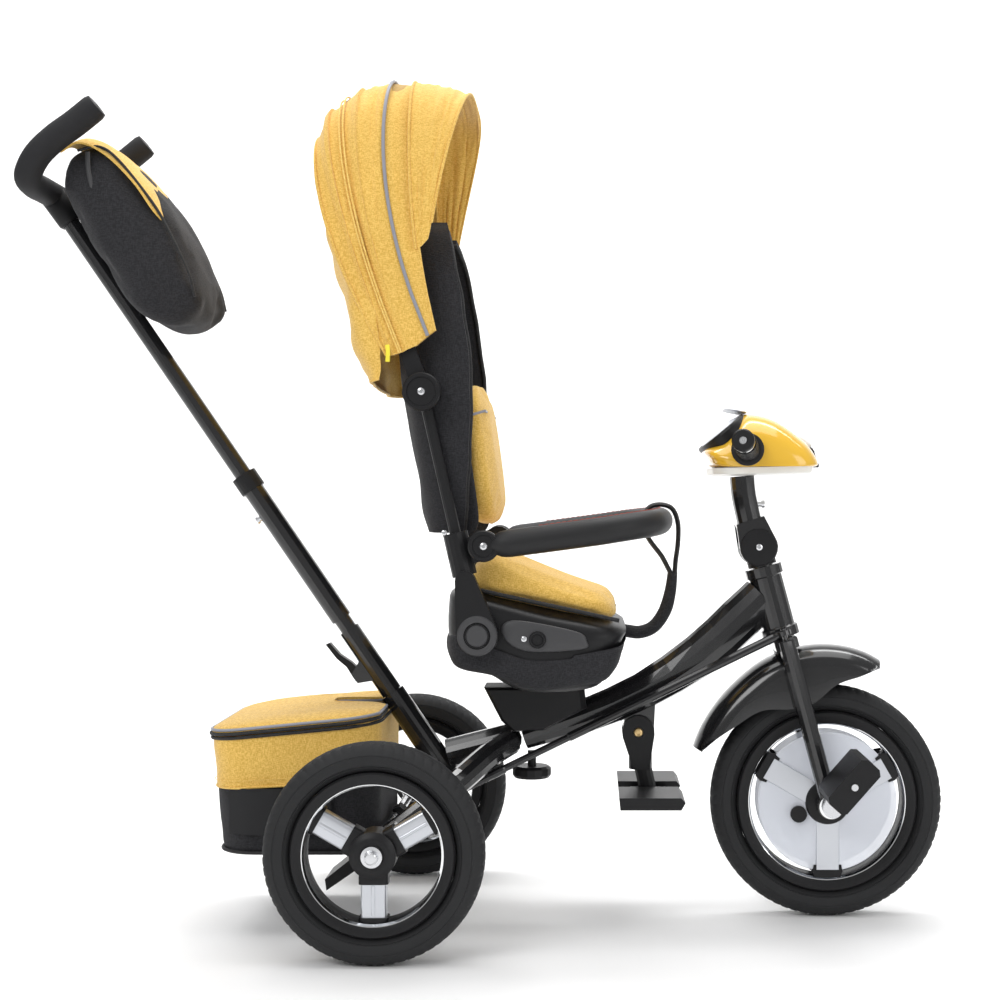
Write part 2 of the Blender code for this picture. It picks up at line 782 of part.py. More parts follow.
def make_front_wheel():
    make_tyre("front_tyre", FRONT_AXLE, FRONT_WHEEL_RADIUS)
    hub_side = [
        (FRONT_HUB_FLANGE, FRONT_HUB_HALF),
        (FRONT_HUB_FLANGE, COVER_OUTER + SIDE_GAP),
        (HUB_RADIUS * 0.8, COVER_OUTER + SIDE_GAP),
    ]
    hub = [(0.0, -FRONT_HUB_HALF)] + [(r, -y) for r, y in hub_side] + hub_side[::-1] + [(0.0, FRONT_HUB_HALF)]
    make_rim("front_rim", FRONT_AXLE, FRONT_WHEEL_RADIUS, hub, CRANKSHAFT_RADIUS + TOUCH_GAP)
    cover_radius = FRONT_WHEEL_RADIUS - TYRE_HEIGHT - RIM_DEPTH - 0.010
    hole = HUB_RADIUS * 0.8 + SIDE_GAP
    covers = []
    for _, sign in SIDES:
        covers.append(
            cylinder(
                "wheel_covers",
                FRONT_AXLE + ACROSS * (sign * COVER_INNER),
                FRONT_AXLE + ACROSS * (sign * COVER_OUTER),
                cover_radius,
                "clear_cover",
                WHEEL_SIDES,
                bore=hole,
            )
        )
    bosses = []
    for angle in spoke_angles():
        out = Vector((math.cos(angle + math.pi), 0.0, math.sin(angle + math.pi)))
        spot = FRONT_AXLE + out * (cover_radius * 0.72)
        reach = ACROSS * (COVER_INNER + 0.001)
        bosses.append(cylinder("boss", spot - reach, spot + reach, 0.005, "clear_cover", 10))
    cover = joined(covers[0], covers[1], *bosses)
    cover.name = "wheel_covers"
    knob = FRONT_AXLE + Vector((FREEWHEEL_KNOB[0], 0.0, FREEWHEEL_KNOB[1]))
    knob_room = cylinder(
        "knob_room", knob - ACROSS * 0.040, knob - ACROSS * 0.015, FREEWHEEL_RADIUS + 0.0010, "zinc_steel", 16
    )
    cut(cover, knob_room)
    knob_room = cylinder(
        "knob_room", knob - ACROSS * 0.040, knob - ACROSS * 0.015, FREEWHEEL_RADIUS + 0.0010, "zinc_steel", 16
    )
    cut(bpy.data.objects["front_rim"], knob_room)
    cylinder(
        "freewheel_button",
        knob - ACROSS * 0.0275,
        knob - ACROSS * 0.0205,
        FREEWHEEL_RADIUS,
        "black_plastic",
        16
    )


CRANK_INNER = 0.0625
CRANK_OUTER = 0.0705
CRANK_ANGLE = math.radians(74.0)
PEDAL_INNER = 0.0745
PEDAL_WIDTH = 0.085
PEDAL_LENGTH = 0.070
PEDAL_THICKNESS = 0.030
PEDAL_TILT = math.radians(48.5)
PEDAL_PIN_RADIUS = 0.0042


def crank_end(sign):
    """Where the pedal's pin is, beside the front axle: the two cranks point opposite ways."""
    return Vector((math.cos(CRANK_ANGLE), 0.0, math.sin(CRANK_ANGLE))) * (-sign * PEDAL_CRANK)


def make_cranks():
    shaft = cylinder(
        "crankshaft", FRONT_AXLE - ACROSS * CRANK_OUTER, FRONT_AXLE + ACROSS * CRANK_OUTER, CRANKSHAFT_RADIUS,
        "zinc_steel", 16,
    )
    parts = []
    axle = (WHEELBASE, FRONT_WHEEL_RADIUS)
    for side, sign in SIDES:
        offset = crank_end(sign)
        end = (axle[0] + offset.x, axle[1] + offset.z)
        ys = sorted((sign * CRANK_INNER, sign * CRANK_OUTER))
        parts.append(slab("arm", teardrop(axle, 0.012, end, 0.009), ys[0], ys[1], "zinc_steel"))
        pin_end = sign * (PEDAL_INNER + PEDAL_WIDTH + 0.004)
        parts.append(
            cylinder(
                "pin",
                FRONT_AXLE + offset + ACROSS * (sign * CRANK_INNER),
                FRONT_AXLE + offset + ACROSS * pin_end,
                PEDAL_PIN_RADIUS, "zinc_steel", TUBE_SIDES,
            )
        )
        spot = FRONT_AXLE + offset
        long_way = Vector((math.cos(PEDAL_TILT), 0.0, math.sin(PEDAL_TILT))) * (PEDAL_LENGTH / 2)
        thick_way = Vector((-math.sin(PEDAL_TILT), 0.0, math.cos(PEDAL_TILT))) * (PEDAL_THICKNESS / 2)
        outline = []
        for a, b in (
            (-1, -0.6), (-0.85, -1), (0.85, -1), (1, -0.6), (1, 0.6), (0.85, 1), (-0.85, 1), (-1, 0.6)
        ):
            outline.append(spot + long_way * a + thick_way * b)
        near, far = sorted((sign * PEDAL_INNER, sign * (PEDAL_INNER + PEDAL_WIDTH)))
        rings = [[p + ACROSS * near for p in outline], [p + ACROSS * far for p in outline]]
        pedal = loft(f"pedal_{side}", rings, "black_plastic")
        cut(
            pedal,
            cylinder(
                "pin_room", spot + ACROSS * (sign * 0.06), spot + ACROSS * (sign * 0.18),
                PEDAL_PIN_RADIUS + RUN_GAP, "zinc_steel", TUBE_SIDES,
            ),
        )
    joined(shaft, *parts)


# Handlebar
STEM_RADIUS = 0.0160
STEM_POINTS = ((0.4534, 0.5023), (0.4459, 0.5374), (0.4433, 0.5630))
BAR_TUBE_RADIUS = 0.0090
BAR_MIDDLE = (0.4448, 0.5917)
GRIP_FLANGE = 0.0200
GRIP_RADIUS = 0.0135
GRIP_START = 0.0930
GRIP_END = 0.1900
CONSOLE_OUTLINE = (
    (0.388, 0.5720),
    (0.530, 0.5735),
    (0.5350, 0.5810),
    (0.5330, 0.6000),
    (0.5230, 0.6120),
    (0.5070, 0.6200),
    (0.4800, 0.6350),
    (0.4450, 0.6440),
    (0.4170, 0.6450),
    (0.3780, 0.5960),
    (0.3750, 0.5840),
)
CONSOLE_HALF_WIDTH = 0.0880
STEM_BUTTON_HEIGHT = 0.5270
BUTTON_RADIUS = 0.0050
BUTTON_STEM_RADIUS = 0.0034


def bar_path(start, end, steps=6):
    """The handlebar's tube on the left from one distance across to another; it sweeps back and up."""
    path = []
    for k in range(steps + 1):
        across = start + (end - start) * k / steps
        bend = max(0.0, abs(across) - 0.06) / 0.13
        path.append(place(BAR_MIDDLE[0] - 0.018 * bend**1.3, BAR_MIDDLE[1] + 0.0115 * bend, across))
    return path


def handlebar_tube_solid(name, radius, reach):
    return tube(name, bar_path(-reach, reach, 14), radius, "zinc_steel", across=UP)


def make_handlebar():
    centre = on_steer(KNUCKLE_ALONG)
    points = [place(x, z) for x, z in STEM_POINTS]
    stem = tube("stem_tube", smooth_path(points, 3), STEM_RADIUS, "gloss_black_paint", sides=14)
    lift = (points[0] - centre).normalized()
    ahead = Vector((lift.z, 0.0, -lift.x))
    pieces = []
    for _, sign in SIDES:
        low, high = sorted((sign * (KNUCKLE_HALF + SIDE_GAP), sign * CHEEK_OUTER))
        outline = [
            centre + ahead * (KNUCKLE_RADIUS * math.cos(a)) + lift * (KNUCKLE_RADIUS * math.sin(a))
            for a in [math.radians(180.0 + 180.0 * k / 12) for k in range(13)]
        ]
        outline += [centre + ahead * 0.0185 + lift * 0.036, centre - ahead * 0.0185 + lift * 0.036]
        rings = [[p + ACROSS * low for p in outline], [p + ACROSS * high for p in outline]]
        pieces.append(loft("cheek", rings, "black_plastic"))
    bridge = [
        centre + ahead * (0.0185 * a) + lift * b
        for a, b in ((-1, KNUCKLE_RADIUS + 0.0012), (1, KNUCKLE_RADIUS + 0.0012), (1, 0.036), (-1, 0.036))
    ]
    pieces.append(
        loft(
            "bridge",
            [
                [p - ACROSS * (CHEEK_OUTER - 0.001) for p in bridge],
                [p + ACROSS * (CHEEK_OUTER - 0.001) for p in bridge],
            ],
            "black_plastic",
        )
    )
    joined(stem, *pieces)
    pin_room = cylinder(
        "pin_room",
        centre - ACROSS * 0.03,
        centre + ACROSS * 0.03,
        PIVOT_PIN_RADIUS + RUN_GAP,
        "zinc_steel",
        TUBE_SIDES
    )
    button_at = place(0.4480, STEM_BUTTON_HEIGHT)
    button_room = cylinder(
        "button_room",
        button_at,
        button_at + Vector((0.03, 0.0, 0.0)),
        BUTTON_STEM_RADIUS + RUN_GAP,
        "zinc_steel",
        TUBE_SIDES,
    )
    cut(stem, pin_room, button_room)
    face = button_at + Vector((STEM_RADIUS + 0.0022, 0.0, 0.0))
    profile = [
        (0.0, -0.0060),
        (BUTTON_STEM_RADIUS, -0.0060),
        (BUTTON_STEM_RADIUS, 0.0020),
        (BUTTON_RADIUS, 0.0020),
        (BUTTON_RADIUS, 0.0060),
        (0.0, 0.0060),
    ]
    turned("stem_button", profile, face, Vector((1.0, 0.0, 0.0)), "zinc_steel", TUBE_SIDES)
    handlebar_tube_solid("handlebar_tube", BAR_TUBE_RADIUS, GRIP_END - 0.002)
    for side, sign in SIDES:
        path = bar_path(sign * GRIP_START, sign * GRIP_END, 8)
        step = [GRIP_FLANGE, GRIP_FLANGE * 0.8] + [GRIP_RADIUS] * 7
        tube(f"grip_{side}", path, step, "black_plastic", across=UP, bore=BAR_TUBE_RADIUS + TOUCH_GAP)
    shell = pillow(
        "console_shell",
        CONSOLE_OUTLINE,
        [
            (-CONSOLE_HALF_WIDTH, 0.82),
            (-CONSOLE_HALF_WIDTH * 0.88, 0.95),
            (-CONSOLE_HALF_WIDTH * 0.5, 1.0),
            (CONSOLE_HALF_WIDTH * 0.5, 1.0),
            (CONSOLE_HALF_WIDTH * 0.88, 0.95),
            (CONSOLE_HALF_WIDTH, 0.82),
        ],
        "yellow_plastic",
    )
    lamp_low, lamp_high = (0.5150, -0.030, 0.5860), (0.5360, 0.030, 0.6080)
    grow = TOUCH_GAP
    lamp_room = block(
        "lamp_room",
        (lamp_low[0] - grow, lamp_low[1] - grow, lamp_low[2] - grow),
        (lamp_high[0] + 0.02, lamp_high[1] + grow, lamp_high[2] + 0.02),
        "zinc_steel",
    )
    cut(shell, handlebar_tube_solid("tube_room", BAR_TUBE_RADIUS + TOUCH_GAP, GRIP_END), lamp_room)
    block("head_lamp", lamp_low, lamp_high, "pale_plastic")
    base = pillow(
        "console_base",
        [(0.392, 0.5610), (0.520, 0.5640), (0.526, 0.5728), (0.386, 0.5713)],
        [(-0.080, 0.9), (-0.070, 1.0), (0.070, 1.0), (0.080, 0.9)],
        "pale_plastic",
    )
    top = points[-1]
    cut(
        base,
        cylinder("stem_room", top - UP * 0.02, top + UP * 0.03, STEM_RADIUS + SIDE_GAP, "zinc_steel"),
    )
    shell_floor = block("shell_floor", (0.36, -0.1, 0.55), (0.56, 0.1, 0.5731 + TOUCH_GAP), "zinc_steel")
    cut(shell, shell_floor)


# Push bar
SLEEVE_RADIUS = 0.0135
SLEEVE_HIGH = 0.2527
OUTER_LOW = 0.2690
OUTER_HIGH = 0.4896
OUTER_BORE = 0.0115
NECK_TOP = 0.2800
INNER_RADIUS = 0.0110
INNER_BORE = 0.0096
INNER_LOW = 0.4050
TELESCOPE_TRAVEL = 0.120
COLLAR_RADIUS = 0.0165
BUTTON_ALONG = 0.4340
REAR_EYE_ALONG = 0.0050
LATCH_ALONG = 0.1960
LATCH_BACK = 0.0235


def make_push_bar_lower():
    spindle = cylinder(
        "push_bar_sleeve", on_bar(-0.006), on_bar(NECK_TOP), SPINDLE_RADIUS, "gloss_black_paint"
    )
    sleeve = cylinder(
        "sleeve", on_bar(SOCKET_HIGH + SIDE_GAP), on_bar(SLEEVE_HIGH), SLEEVE_RADIUS, "gloss_black_paint"
    )
    lever_ring = []
    for along in (-0.0066, -0.0004):
        lever_ring.append(
            [
                on_bar(along, back, across)
                for back, across in (
                    (-0.0085, 0.0),
                    (-0.0085, -STEER_LEVER * 0.5),
                    (-0.006, -STEER_LEVER - 0.006),
                    (0.006, -STEER_LEVER - 0.006),
                    (0.0085, -STEER_LEVER * 0.5),
                    (0.0085, 0.0),
                )
            ]
        )
    lever = loft("lever", lever_ring, "gloss_black_paint")
    stud = cylinder(
        "stud", on_bar(-0.005, 0.0, -STEER_LEVER), on_bar(
            REAR_EYE_ALONG + 0.005, 0.0, -STEER_LEVER
        ), EYE_STUD_RADIUS,
        "zinc_steel", TUBE_SIDES,
    )
    ear_centre = (LATCH_ALONG, LATCH_BACK)
    ears = []
    for sign in (-1.0, 1.0):
        ring_low, ring_high = [], []
        for ring, across in ((ring_low, 0.0072), (ring_high, 0.0100)):
            for along, back in ((-0.016, -0.014), (0.016, -0.014), (0.007, 0.005), (-0.007, 0.005)):
                ring.append(on_bar(ear_centre[0] + along, ear_centre[1] + back, sign * across))
        ears.append(loft("ear", [ring_low, ring_high], "gloss_black_paint"))
    joined(spindle, sleeve, lever, stud, *ears)
    outer = cylinder(
        "push_bar_outer_tube",
        on_bar(OUTER_LOW),
        on_bar(OUTER_HIGH),
        SLEEVE_RADIUS,
        "gloss_black_paint",
        bore=OUTER_BORE
    )
    cut(
        outer,
        cylinder(
            "button_room",
            on_bar(BUTTON_ALONG, 0.005),
            on_bar(BUTTON_ALONG, 0.03),
            BUTTON_STEM_RADIUS + RUN_GAP,
            "zinc_steel", TUBE_SIDES,
        ),
    )
    button = [
        (0.0, 0.0131),
        (BUTTON_STEM_RADIUS, 0.0131),
        (BUTTON_STEM_RADIUS, 0.0157),
        (BUTTON_RADIUS, 0.0157),
        (BUTTON_RADIUS, 0.0190),
        (0.0, 0.0190),
    ]
    turned("telescope_button", button, on_bar(BUTTON_ALONG), BAR_BACK, "zinc_steel", TUBE_SIDES)
    cylinder(
        "push_bar_collar",
        on_bar(OUTER_HIGH - 0.020),
        on_bar(OUTER_HIGH + 0.003),
        COLLAR_RADIUS,
        "black_plastic",
        bore=SLEEVE_RADIUS + TOUCH_GAP,
    )
    lever_outline = []
    for along, back in (
        (-0.007, 0.0),
        (-0.004, -0.0062),
        (0.006, -0.0062),
        (0.020, -0.0030),
        (0.036, 0.0035),
        (0.056, 0.0060),
        (0.057, 0.0115),
        (0.034, 0.0100),
        (0.018, 0.0055),
        (0.004, 0.0062),
        (-0.004, 0.0062),
    ):
        lever_outline.append((LATCH_ALONG + along, LATCH_BACK + back))
    rings = [[on_bar(a, b, y) for a, b in lever_outline] for y in (-0.0066, 0.0066)]
    loft("latch_lever", rings, "black_plastic")


def handle_path():
    top = on_bar(HANDLE_TOP_ALONG)
    half = [
        top + Vector((0.092, -HANDLE_HALF_WIDTH, 0.088)),
        top + Vector((0.066, -HANDLE_HALF_WIDTH, 0.067)),
        top + Vector((0.040, -HANDLE_HALF_WIDTH, 0.048)),
        top + Vector((0.017, -HANDLE_HALF_WIDTH * 0.98, 0.025)),
        top + Vector((0.003, -HANDLE_HALF_WIDTH * 0.86, 0.006)),
        top + Vector((0.0, -HANDLE_HALF_WIDTH * 0.60, 0.0)),
        top + Vector((0.0, -HANDLE_HALF_WIDTH * 0.30, 0.0)),
        top.copy(),
    ]
    return smooth_path(mirror_path(half), 2)


BAG_OUTLINE = (
    (-0.404, 0.940),
    (-0.386, 0.885),
    (-0.324, 0.785),
    (-0.300, 0.760),
    (-0.280, 0.750),
    (-0.230, 0.762),
    (-0.241, 0.8165),
    (-0.272, 0.869),
    (-0.3385, 0.959),
    (-0.358, 0.973),
    (-0.385, 0.962),
)
BAG_HALF_WIDTH = 0.086


def make_push_bar_upper():
    top = HANDLE_TOP_ALONG - HANDLE_RADIUS - 0.0006
    cylinder(
        "push_bar_inner_tube",
        on_bar(INNER_LOW),
        on_bar(top),
        INNER_RADIUS,
        "gloss_black_paint",
        bore=INNER_BORE,
    )
    handle = tube("push_handle", handle_path(), HANDLE_RADIUS, "grip_foam", across=UP)
    knuckle = cylinder(
        "knuckle", on_bar(HANDLE_TOP_ALONG - 0.045), on_bar(HANDLE_TOP_ALONG - 0.005), 0.0155, "black_plastic"
    )
    joined(handle, knuckle)
    tube_room = cylinder(
        "tube_room", on_bar(0.80), on_bar(top + 0.0006), INNER_RADIUS + TOUCH_GAP, "zinc_steel"
    )
    cut(handle, tube_room)
    stations = [
        (-BAG_HALF_WIDTH, 0.90),
        (-BAG_HALF_WIDTH * 0.9, 0.98),
        (-BAG_HALF_WIDTH * 0.5, 1.0),
        (BAG_HALF_WIDTH * 0.5, 1.0),
        (BAG_HALF_WIDTH * 0.9, 0.98),
        (BAG_HALF_WIDTH, 0.90),
    ]
    pillow("handle_bag", BAG_OUTLINE, stations, "black_fabric")


# Steering rod
ROD_RADIUS = 0.0058
TURNBUCKLE_RADIUS = 0.0046
EYE_RADIUS = 0.0090
FRONT_EYE_BORE = 0.0042
REAR_EYE_BORE = 0.0058


def make_steering_rod():
    front = on_steer(LEVER_EYE_ALONG, 0.0, -STEER_LEVER)
    rear = on_bar(REAR_EYE_ALONG + 0.002, 0.0, -STEER_LEVER)
    along = (front - rear).normalized()
    length = (front - rear).length
    stops = [
        (0.0, 0.006),
        (0.0045, 0.0061),
        (ROD_RADIUS, 0.014),
        (ROD_RADIUS, 0.070),
        (TURNBUCKLE_RADIUS, 0.072),
        (TURNBUCKLE_RADIUS, 0.160),
        (ROD_RADIUS, 0.162),
        (ROD_RADIUS, length - 0.014),
        (0.0045, length - 0.0061),
        (0.0, length - 0.006),
    ]
    rod = turned("steering_rod", stops, rear, along, "gloss_black_paint", TUBE_SIDES)
    front_eye = cylinder(
        "front_eye", front - STEER_UP * 0.0028, front + STEER_UP * 0.0028, EYE_RADIUS, "zinc_steel", 16
    )
    rear_eye = cylinder(
        "rear_eye", rear - BAR_UP * 0.0035, rear + BAR_UP * 0.0035, EYE_RADIUS, "zinc_steel", 16
    )
    joined(rod, front_eye, rear_eye)
    cut(
        rod,
        cylinder(
            "front_bore", front - STEER_UP * 0.02, front + STEER_UP * 0.02, FRONT_EYE_BORE, "zinc_steel", 16
        ),
        cylinder("rear_bore", rear - BAR_UP * 0.02, rear + BAR_UP * 0.02, REAR_EYE_BORE, "zinc_steel", 16),
    )


# Seat
SEAT_OUTLINE = (
    (0.0900, 0.4260),
    (0.0700, 0.4020),
    (0.0800, 0.3340),
    (0.1240, 0.3170),
    (0.1450, 0.2960),
    (0.2350, 0.2960),
    (0.2700, 0.3110),
    (0.2890, 0.3560),
    (0.2870, 0.3800),
)
SEAT_TOP_REAR = (0.0900, 0.4260)
SEAT_TOP_FRONT = (0.2870, 0.3800)
# (share of the half width, share of the length, share of the depth): the underside rises at the sides
SEAT_SHELL_STATIONS = (
    (0.0, 1.0, 1.0),
    (0.34, 1.0, 0.97),
    (0.68, 1.0, 0.80),
    (0.92, 0.93, 0.60),
    (1.0, 0.80, 0.45),
)
RECLINE_PIVOT = (0.1138, 0.3716)
CUSHION_HALF_WIDTH = 0.130


def seat_top(forward):
    share = (forward - SEAT_TOP_REAR[0]) / (SEAT_TOP_FRONT[0] - SEAT_TOP_REAR[0])
    return SEAT_TOP_REAR[1] + (SEAT_TOP_FRONT[1] - SEAT_TOP_REAR[1]) * share


def make_seat():
    half = SEAT_HALF_WIDTH
    middle = sum(x for x, _ in SEAT_OUTLINE) / len(SEAT_OUTLINE)
    mirrored = [(-across, length, depth) for across, length, depth in SEAT_SHELL_STATIONS[:0:-1]]
    rings = []
    for across, length, depth in (*mirrored, *SEAT_SHELL_STATIONS):
        ring = []
        for x, z in SEAT_OUTLINE:
            forward = middle + (x - middle) * length
            ring.append(place(forward, seat_top(forward) - (seat_top(x) - z) * depth, across * half))
        rings.append(ring)
    loft("seat_shell", rings, "black_plastic")
    rear, front = 0.118, 0.279
    outline = [
        (rear, seat_top(rear) + SIDE_GAP),
        (front, seat_top(front) + SIDE_GAP),
        (front + 0.004, seat_top(front) + 0.014),
        (front - 0.008, seat_top(front) + 0.026),
        (0.200, seat_top(0.200) + 0.034),
        (rear + 0.030, seat_top(rear) + 0.034),
        (rear, seat_top(rear) + 0.032),
    ]
    half = CUSHION_HALF_WIDTH
    rings = []
    for across, share in ((-half, 0.25), (-half * 0.9, 1.0), (half * 0.9, 1.0), (half, 0.25)):
        ring = []
        for x, z in outline:
            floor = seat_top(x) + SIDE_GAP
            ring.append(place(x, floor + (z - floor) * share, across))
        rings.append(ring)
    loft("seat_cushion", rings, "yellow_fabric")
    strap = [
        place(x, z)
        for x, z in (
            (0.2915, 0.3640), (0.3100, 0.3600), (0.3290, 0.3690), (0.3460, 0.3960), (0.3530, 0.4330)
        )
    ]
    path = smooth_path(strap, 3)
    oval_bar("crotch_strap", path, [(0.013, 0.0065)] * len(path), "black_fabric", sides=8)


def make_seat_knob():
    boom_bottom = 0.2108
    knob_top = 0.1910
    profile = [(0.0, -0.015), (0.022, -0.015), (0.025, -0.011), (0.025, -0.003), (0.021, 0.0)]
    profile += [
        (0.0055, 0.0), (0.0055, boom_bottom - knob_top - 0.0005), (0.0, boom_bottom - knob_top - 0.0005)
    ]
    turned("seat_knob", profile, place(SWIVEL_X, knob_top), UP, "black_plastic", 16)


# Backrest: all of it leans with the side tubes
SIDE_TUBE_LOW = (0.0995, 0.4370)
SLEEVE_CENTRE = (0.0924, 0.4682)
CANOPY_PIVOT = (0.0486, 0.6610)
BUMPER_PIVOT = (0.1221, 0.4783)
ARM_INNER = 0.1490
ARM_OUTER = 0.1665
TUBE_ACROSS = 0.1490
TUBE_RADIUS = 0.0070
BRACKET_RADIUS = 0.0150
PIVOT_INNER = 0.1410
PIVOT_OUTER = 0.1562
DISC_INNER = 0.1570
DISC_OUTER = 0.1740
CANOPY_DISC_RADIUS = 0.0225
BUMPER_DISC_RADIUS = 0.0185
RECLINE_DISC_RADIUS = 0.0250
PUSH_BUTTON_RADIUS = 0.0145
PUSH_BUTTON_TRAVEL = 0.004


def make_back_frame():
    low, high = place(*SLEEVE_CENTRE), place(*CANOPY_PIVOT)
    lean = (high - low).normalized()
    for side, sign in SIDES:
        ys = sorted((sign * ARM_INNER, sign * ARM_OUTER))
        arm = slab(
            f"recline_arm_{side}",
            teardrop(RECLINE_PIVOT, RECLINE_DISC_RADIUS, SIDE_TUBE_LOW, 0.0120, 9),
            ys[0],
            ys[1],
            "black_plastic",
        )
        across = ACROSS * (sign * TUBE_ACROSS)
        parts = [
            cylinder(
                "sleeve",
                low - lean * 0.026 + across,
                low + lean * 0.026 + across,
                BRACKET_RADIUS,
                "black_plastic",
                16,
            ),
            cylinder(
                "side_tube", low + across, high + across, TUBE_RADIUS, "gloss_black_paint", TUBE_SIDES
            ),
        ]
        ys = sorted((sign * PIVOT_INNER, sign * PIVOT_OUTER))
        parts.append(
            slab(
                "bumper_ear",
                teardrop(BUMPER_PIVOT, 0.0175, SLEEVE_CENTRE, 0.0140),
                ys[0],
                ys[1],
                "black_plastic",
            )
        )
        parts.append(
            slab("canopy_ear", disc_outline(CANOPY_PIVOT, 0.0200, 16), ys[0], ys[1], "black_plastic")
        )
        joined(arm, *parts)
        pivot = place(*RECLINE_PIVOT)
        room_start = pivot + ACROSS * (sign * (ARM_OUTER - 0.0080))
        room_end = pivot + ACROSS * (sign * (ARM_OUTER + 0.01))
        cut(
            arm,
            cylinder("button_room", room_start, room_end, PUSH_BUTTON_RADIUS + RUN_GAP, "zinc_steel", 16),
        )
        start = pivot + ACROSS * (sign * (ARM_OUTER - 0.0035))
        end = pivot + ACROSS * (sign * (ARM_OUTER + 0.0020))
        cylinder(f"recline_button_{side}", start, end, PUSH_BUTTON_RADIUS, "black_plastic", 16)


# (height, rear of the shell, front of its wings, half width)
BACK_STATIONS = (
    (0.500, 0.0560, 0.0950, 0.118),
    (0.560, 0.0430, 0.0970, 0.128),
    (0.650, 0.0260, 0.1020, 0.134),
    (0.740, 0.0180, 0.0930, 0.134),
    (0.810, 0.0200, 0.0820, 0.122),
    (0.862, 0.0340, 0.0680, 0.078),
)
BACK_WALL = 0.014


def make_backrest():
    rings = []
    for height, rear, front, half in BACK_STATIONS:
        ring = []
        for wall, turn in ((0.0, 1), (BACK_WALL, -1)):
            back, side = rear + wall, half - wall
            points = [(front, -side)]
            for k in range(7):
                angle = math.pi * k / 6
                depth = (front - back) * 0.85 * math.sin(angle) ** 0.6 if 0 < k < 6 else 0.0
                points.append((front - 0.15 * (front - back) - depth, -side * math.cos(angle)))
            points.append((front, side))
            ring += [place(x, height, y) for x, y in points[::turn]]
        rings.append(ring)
    loft("backrest_shell", rings, "black_fabric")
    outline = [
        (0.0860, 0.660), (0.0900, 0.672), (0.1080, 0.674), (0.1150, 0.660), (0.1310, 0.512), (0.1260, 0.503)
    ]
    outline += [(0.1080, 0.503), (0.1020, 0.512)]
    half = 0.104
    stations = [(-half, 0.80), (-half * 0.92, 0.97), (half * 0.92, 0.97), (half, 0.80)]
    pillow("back_cushion", outline, stations, "yellow_fabric")


# Canopy: each hoop is (lower end forward, lower end height, top forward, top height)
CANOPY_HOOPS = (
    (0.0050, 0.7060, -0.0850, 0.9800),
    (0.0140, 0.7060, -0.0700, 1.0150),
    (0.0300, 0.7120, -0.0300, 1.0410),
    (0.0480, 0.7200, 0.0000, 1.0490),
    (0.0620, 0.7320, 0.0270, 1.0500),
    (0.0540, 0.8350, 0.0930, 1.0380),
)
CANOPY_WALL = 0.0028
CANOPY_SQUARENESS = 3.6
CURTAIN_STATIONS = (
    (0.925, -0.0790, -0.001),
    (0.880, -0.0770, -0.003),
    (0.800, -0.0590, 0.003),
    (0.720, -0.0330, 0.012),
    (0.676, -0.0120, 0.026),
)


def arch(low, top, half, drop):
    """Points of a hoop from right to left; drop lowers its crown."""
    points = []
    for k in range(13):
        angle = math.pi * k / 12
        c, s = -math.cos(angle), math.sin(angle)
        across = half * math.copysign(abs(c) ** (2 / CANOPY_SQUARENESS), c)
        rise = abs(s) ** (2 / CANOPY_SQUARENESS)
        point = low + (top - low) * rise
        point = point - (top - low).normalized() * (drop * rise)
        points.append(Vector((point.x, across, point.z)))
    return points


def make_canopy():
    rings = []
    for low_x, low_z, top_x, top_z in CANOPY_HOOPS:
        low, top = place(low_x, low_z), place(top_x, top_z)
        outside = arch(low, top, CANOPY_HALF_WIDTH, 0.0)
        inside = arch(low, top, CANOPY_HALF_WIDTH - CANOPY_WALL, CANOPY_WALL)
        rings.append(outside + inside[::-1])
    loft("canopy_shell", rings, "yellow_fabric")
    strap_end = (CANOPY_PIVOT[0] - 0.040, CANOPY_PIVOT[1] + 0.115)
    for side, sign in SIDES:
        ys = sorted((sign * DISC_INNER, sign * (DISC_INNER + 0.006)))
        strap = slab(
            f"canopy_arm_{side}", teardrop(
                CANOPY_PIVOT, 0.0105, strap_end, 0.0085, 5
            ), ys[0], ys[1], "black_plastic"
        )
        ys = sorted((sign * DISC_INNER, sign * DISC_OUTER))
        joined(
            strap,
            slab("disc", disc_outline(CANOPY_PIVOT, CANOPY_DISC_RADIUS), ys[0], ys[1], "black_plastic"),
        )
    rings = []
    for height, rear, front in CURTAIN_STATIONS:
        ring = []
        for wall, turn in ((0.0, 1), (CANOPY_WALL, -1)):
            half = CANOPY_HALF_WIDTH - 0.0125 - wall
            points = []
            for k in range(11):
                angle = math.pi * k / 10
                c, s = -math.cos(angle), math.sin(angle)
                across = half * math.copysign(abs(c) ** 0.6, c)
                points.append((front - (front - rear - wall) * s**0.6, across))
            ring += [place(x, height, y) for x, y in points[::turn]]
        rings.append(ring)
    curtain = loft("canopy_rear_curtain", rings, "yellow_fabric")
    rings = []
    for low_x, low_z, top_x, top_z in CANOPY_HOOPS:
        rings.append(arch(place(low_x, low_z), place(top_x, top_z), CANOPY_HALF_WIDTH + TOUCH_GAP * 4, 0.0))
    rings[0] = [point - Vector((0.0012, 0.0, 0.0004)) for point in rings[0]]
    cut(curtain, loft("canopy_room", rings, "zinc_steel"))


# Bumper bar
BUMPER_RADIUS = 0.0165
BUMPER_ACROSS = 0.1650
BUMPER_FRONT = (0.3365, 0.5065)


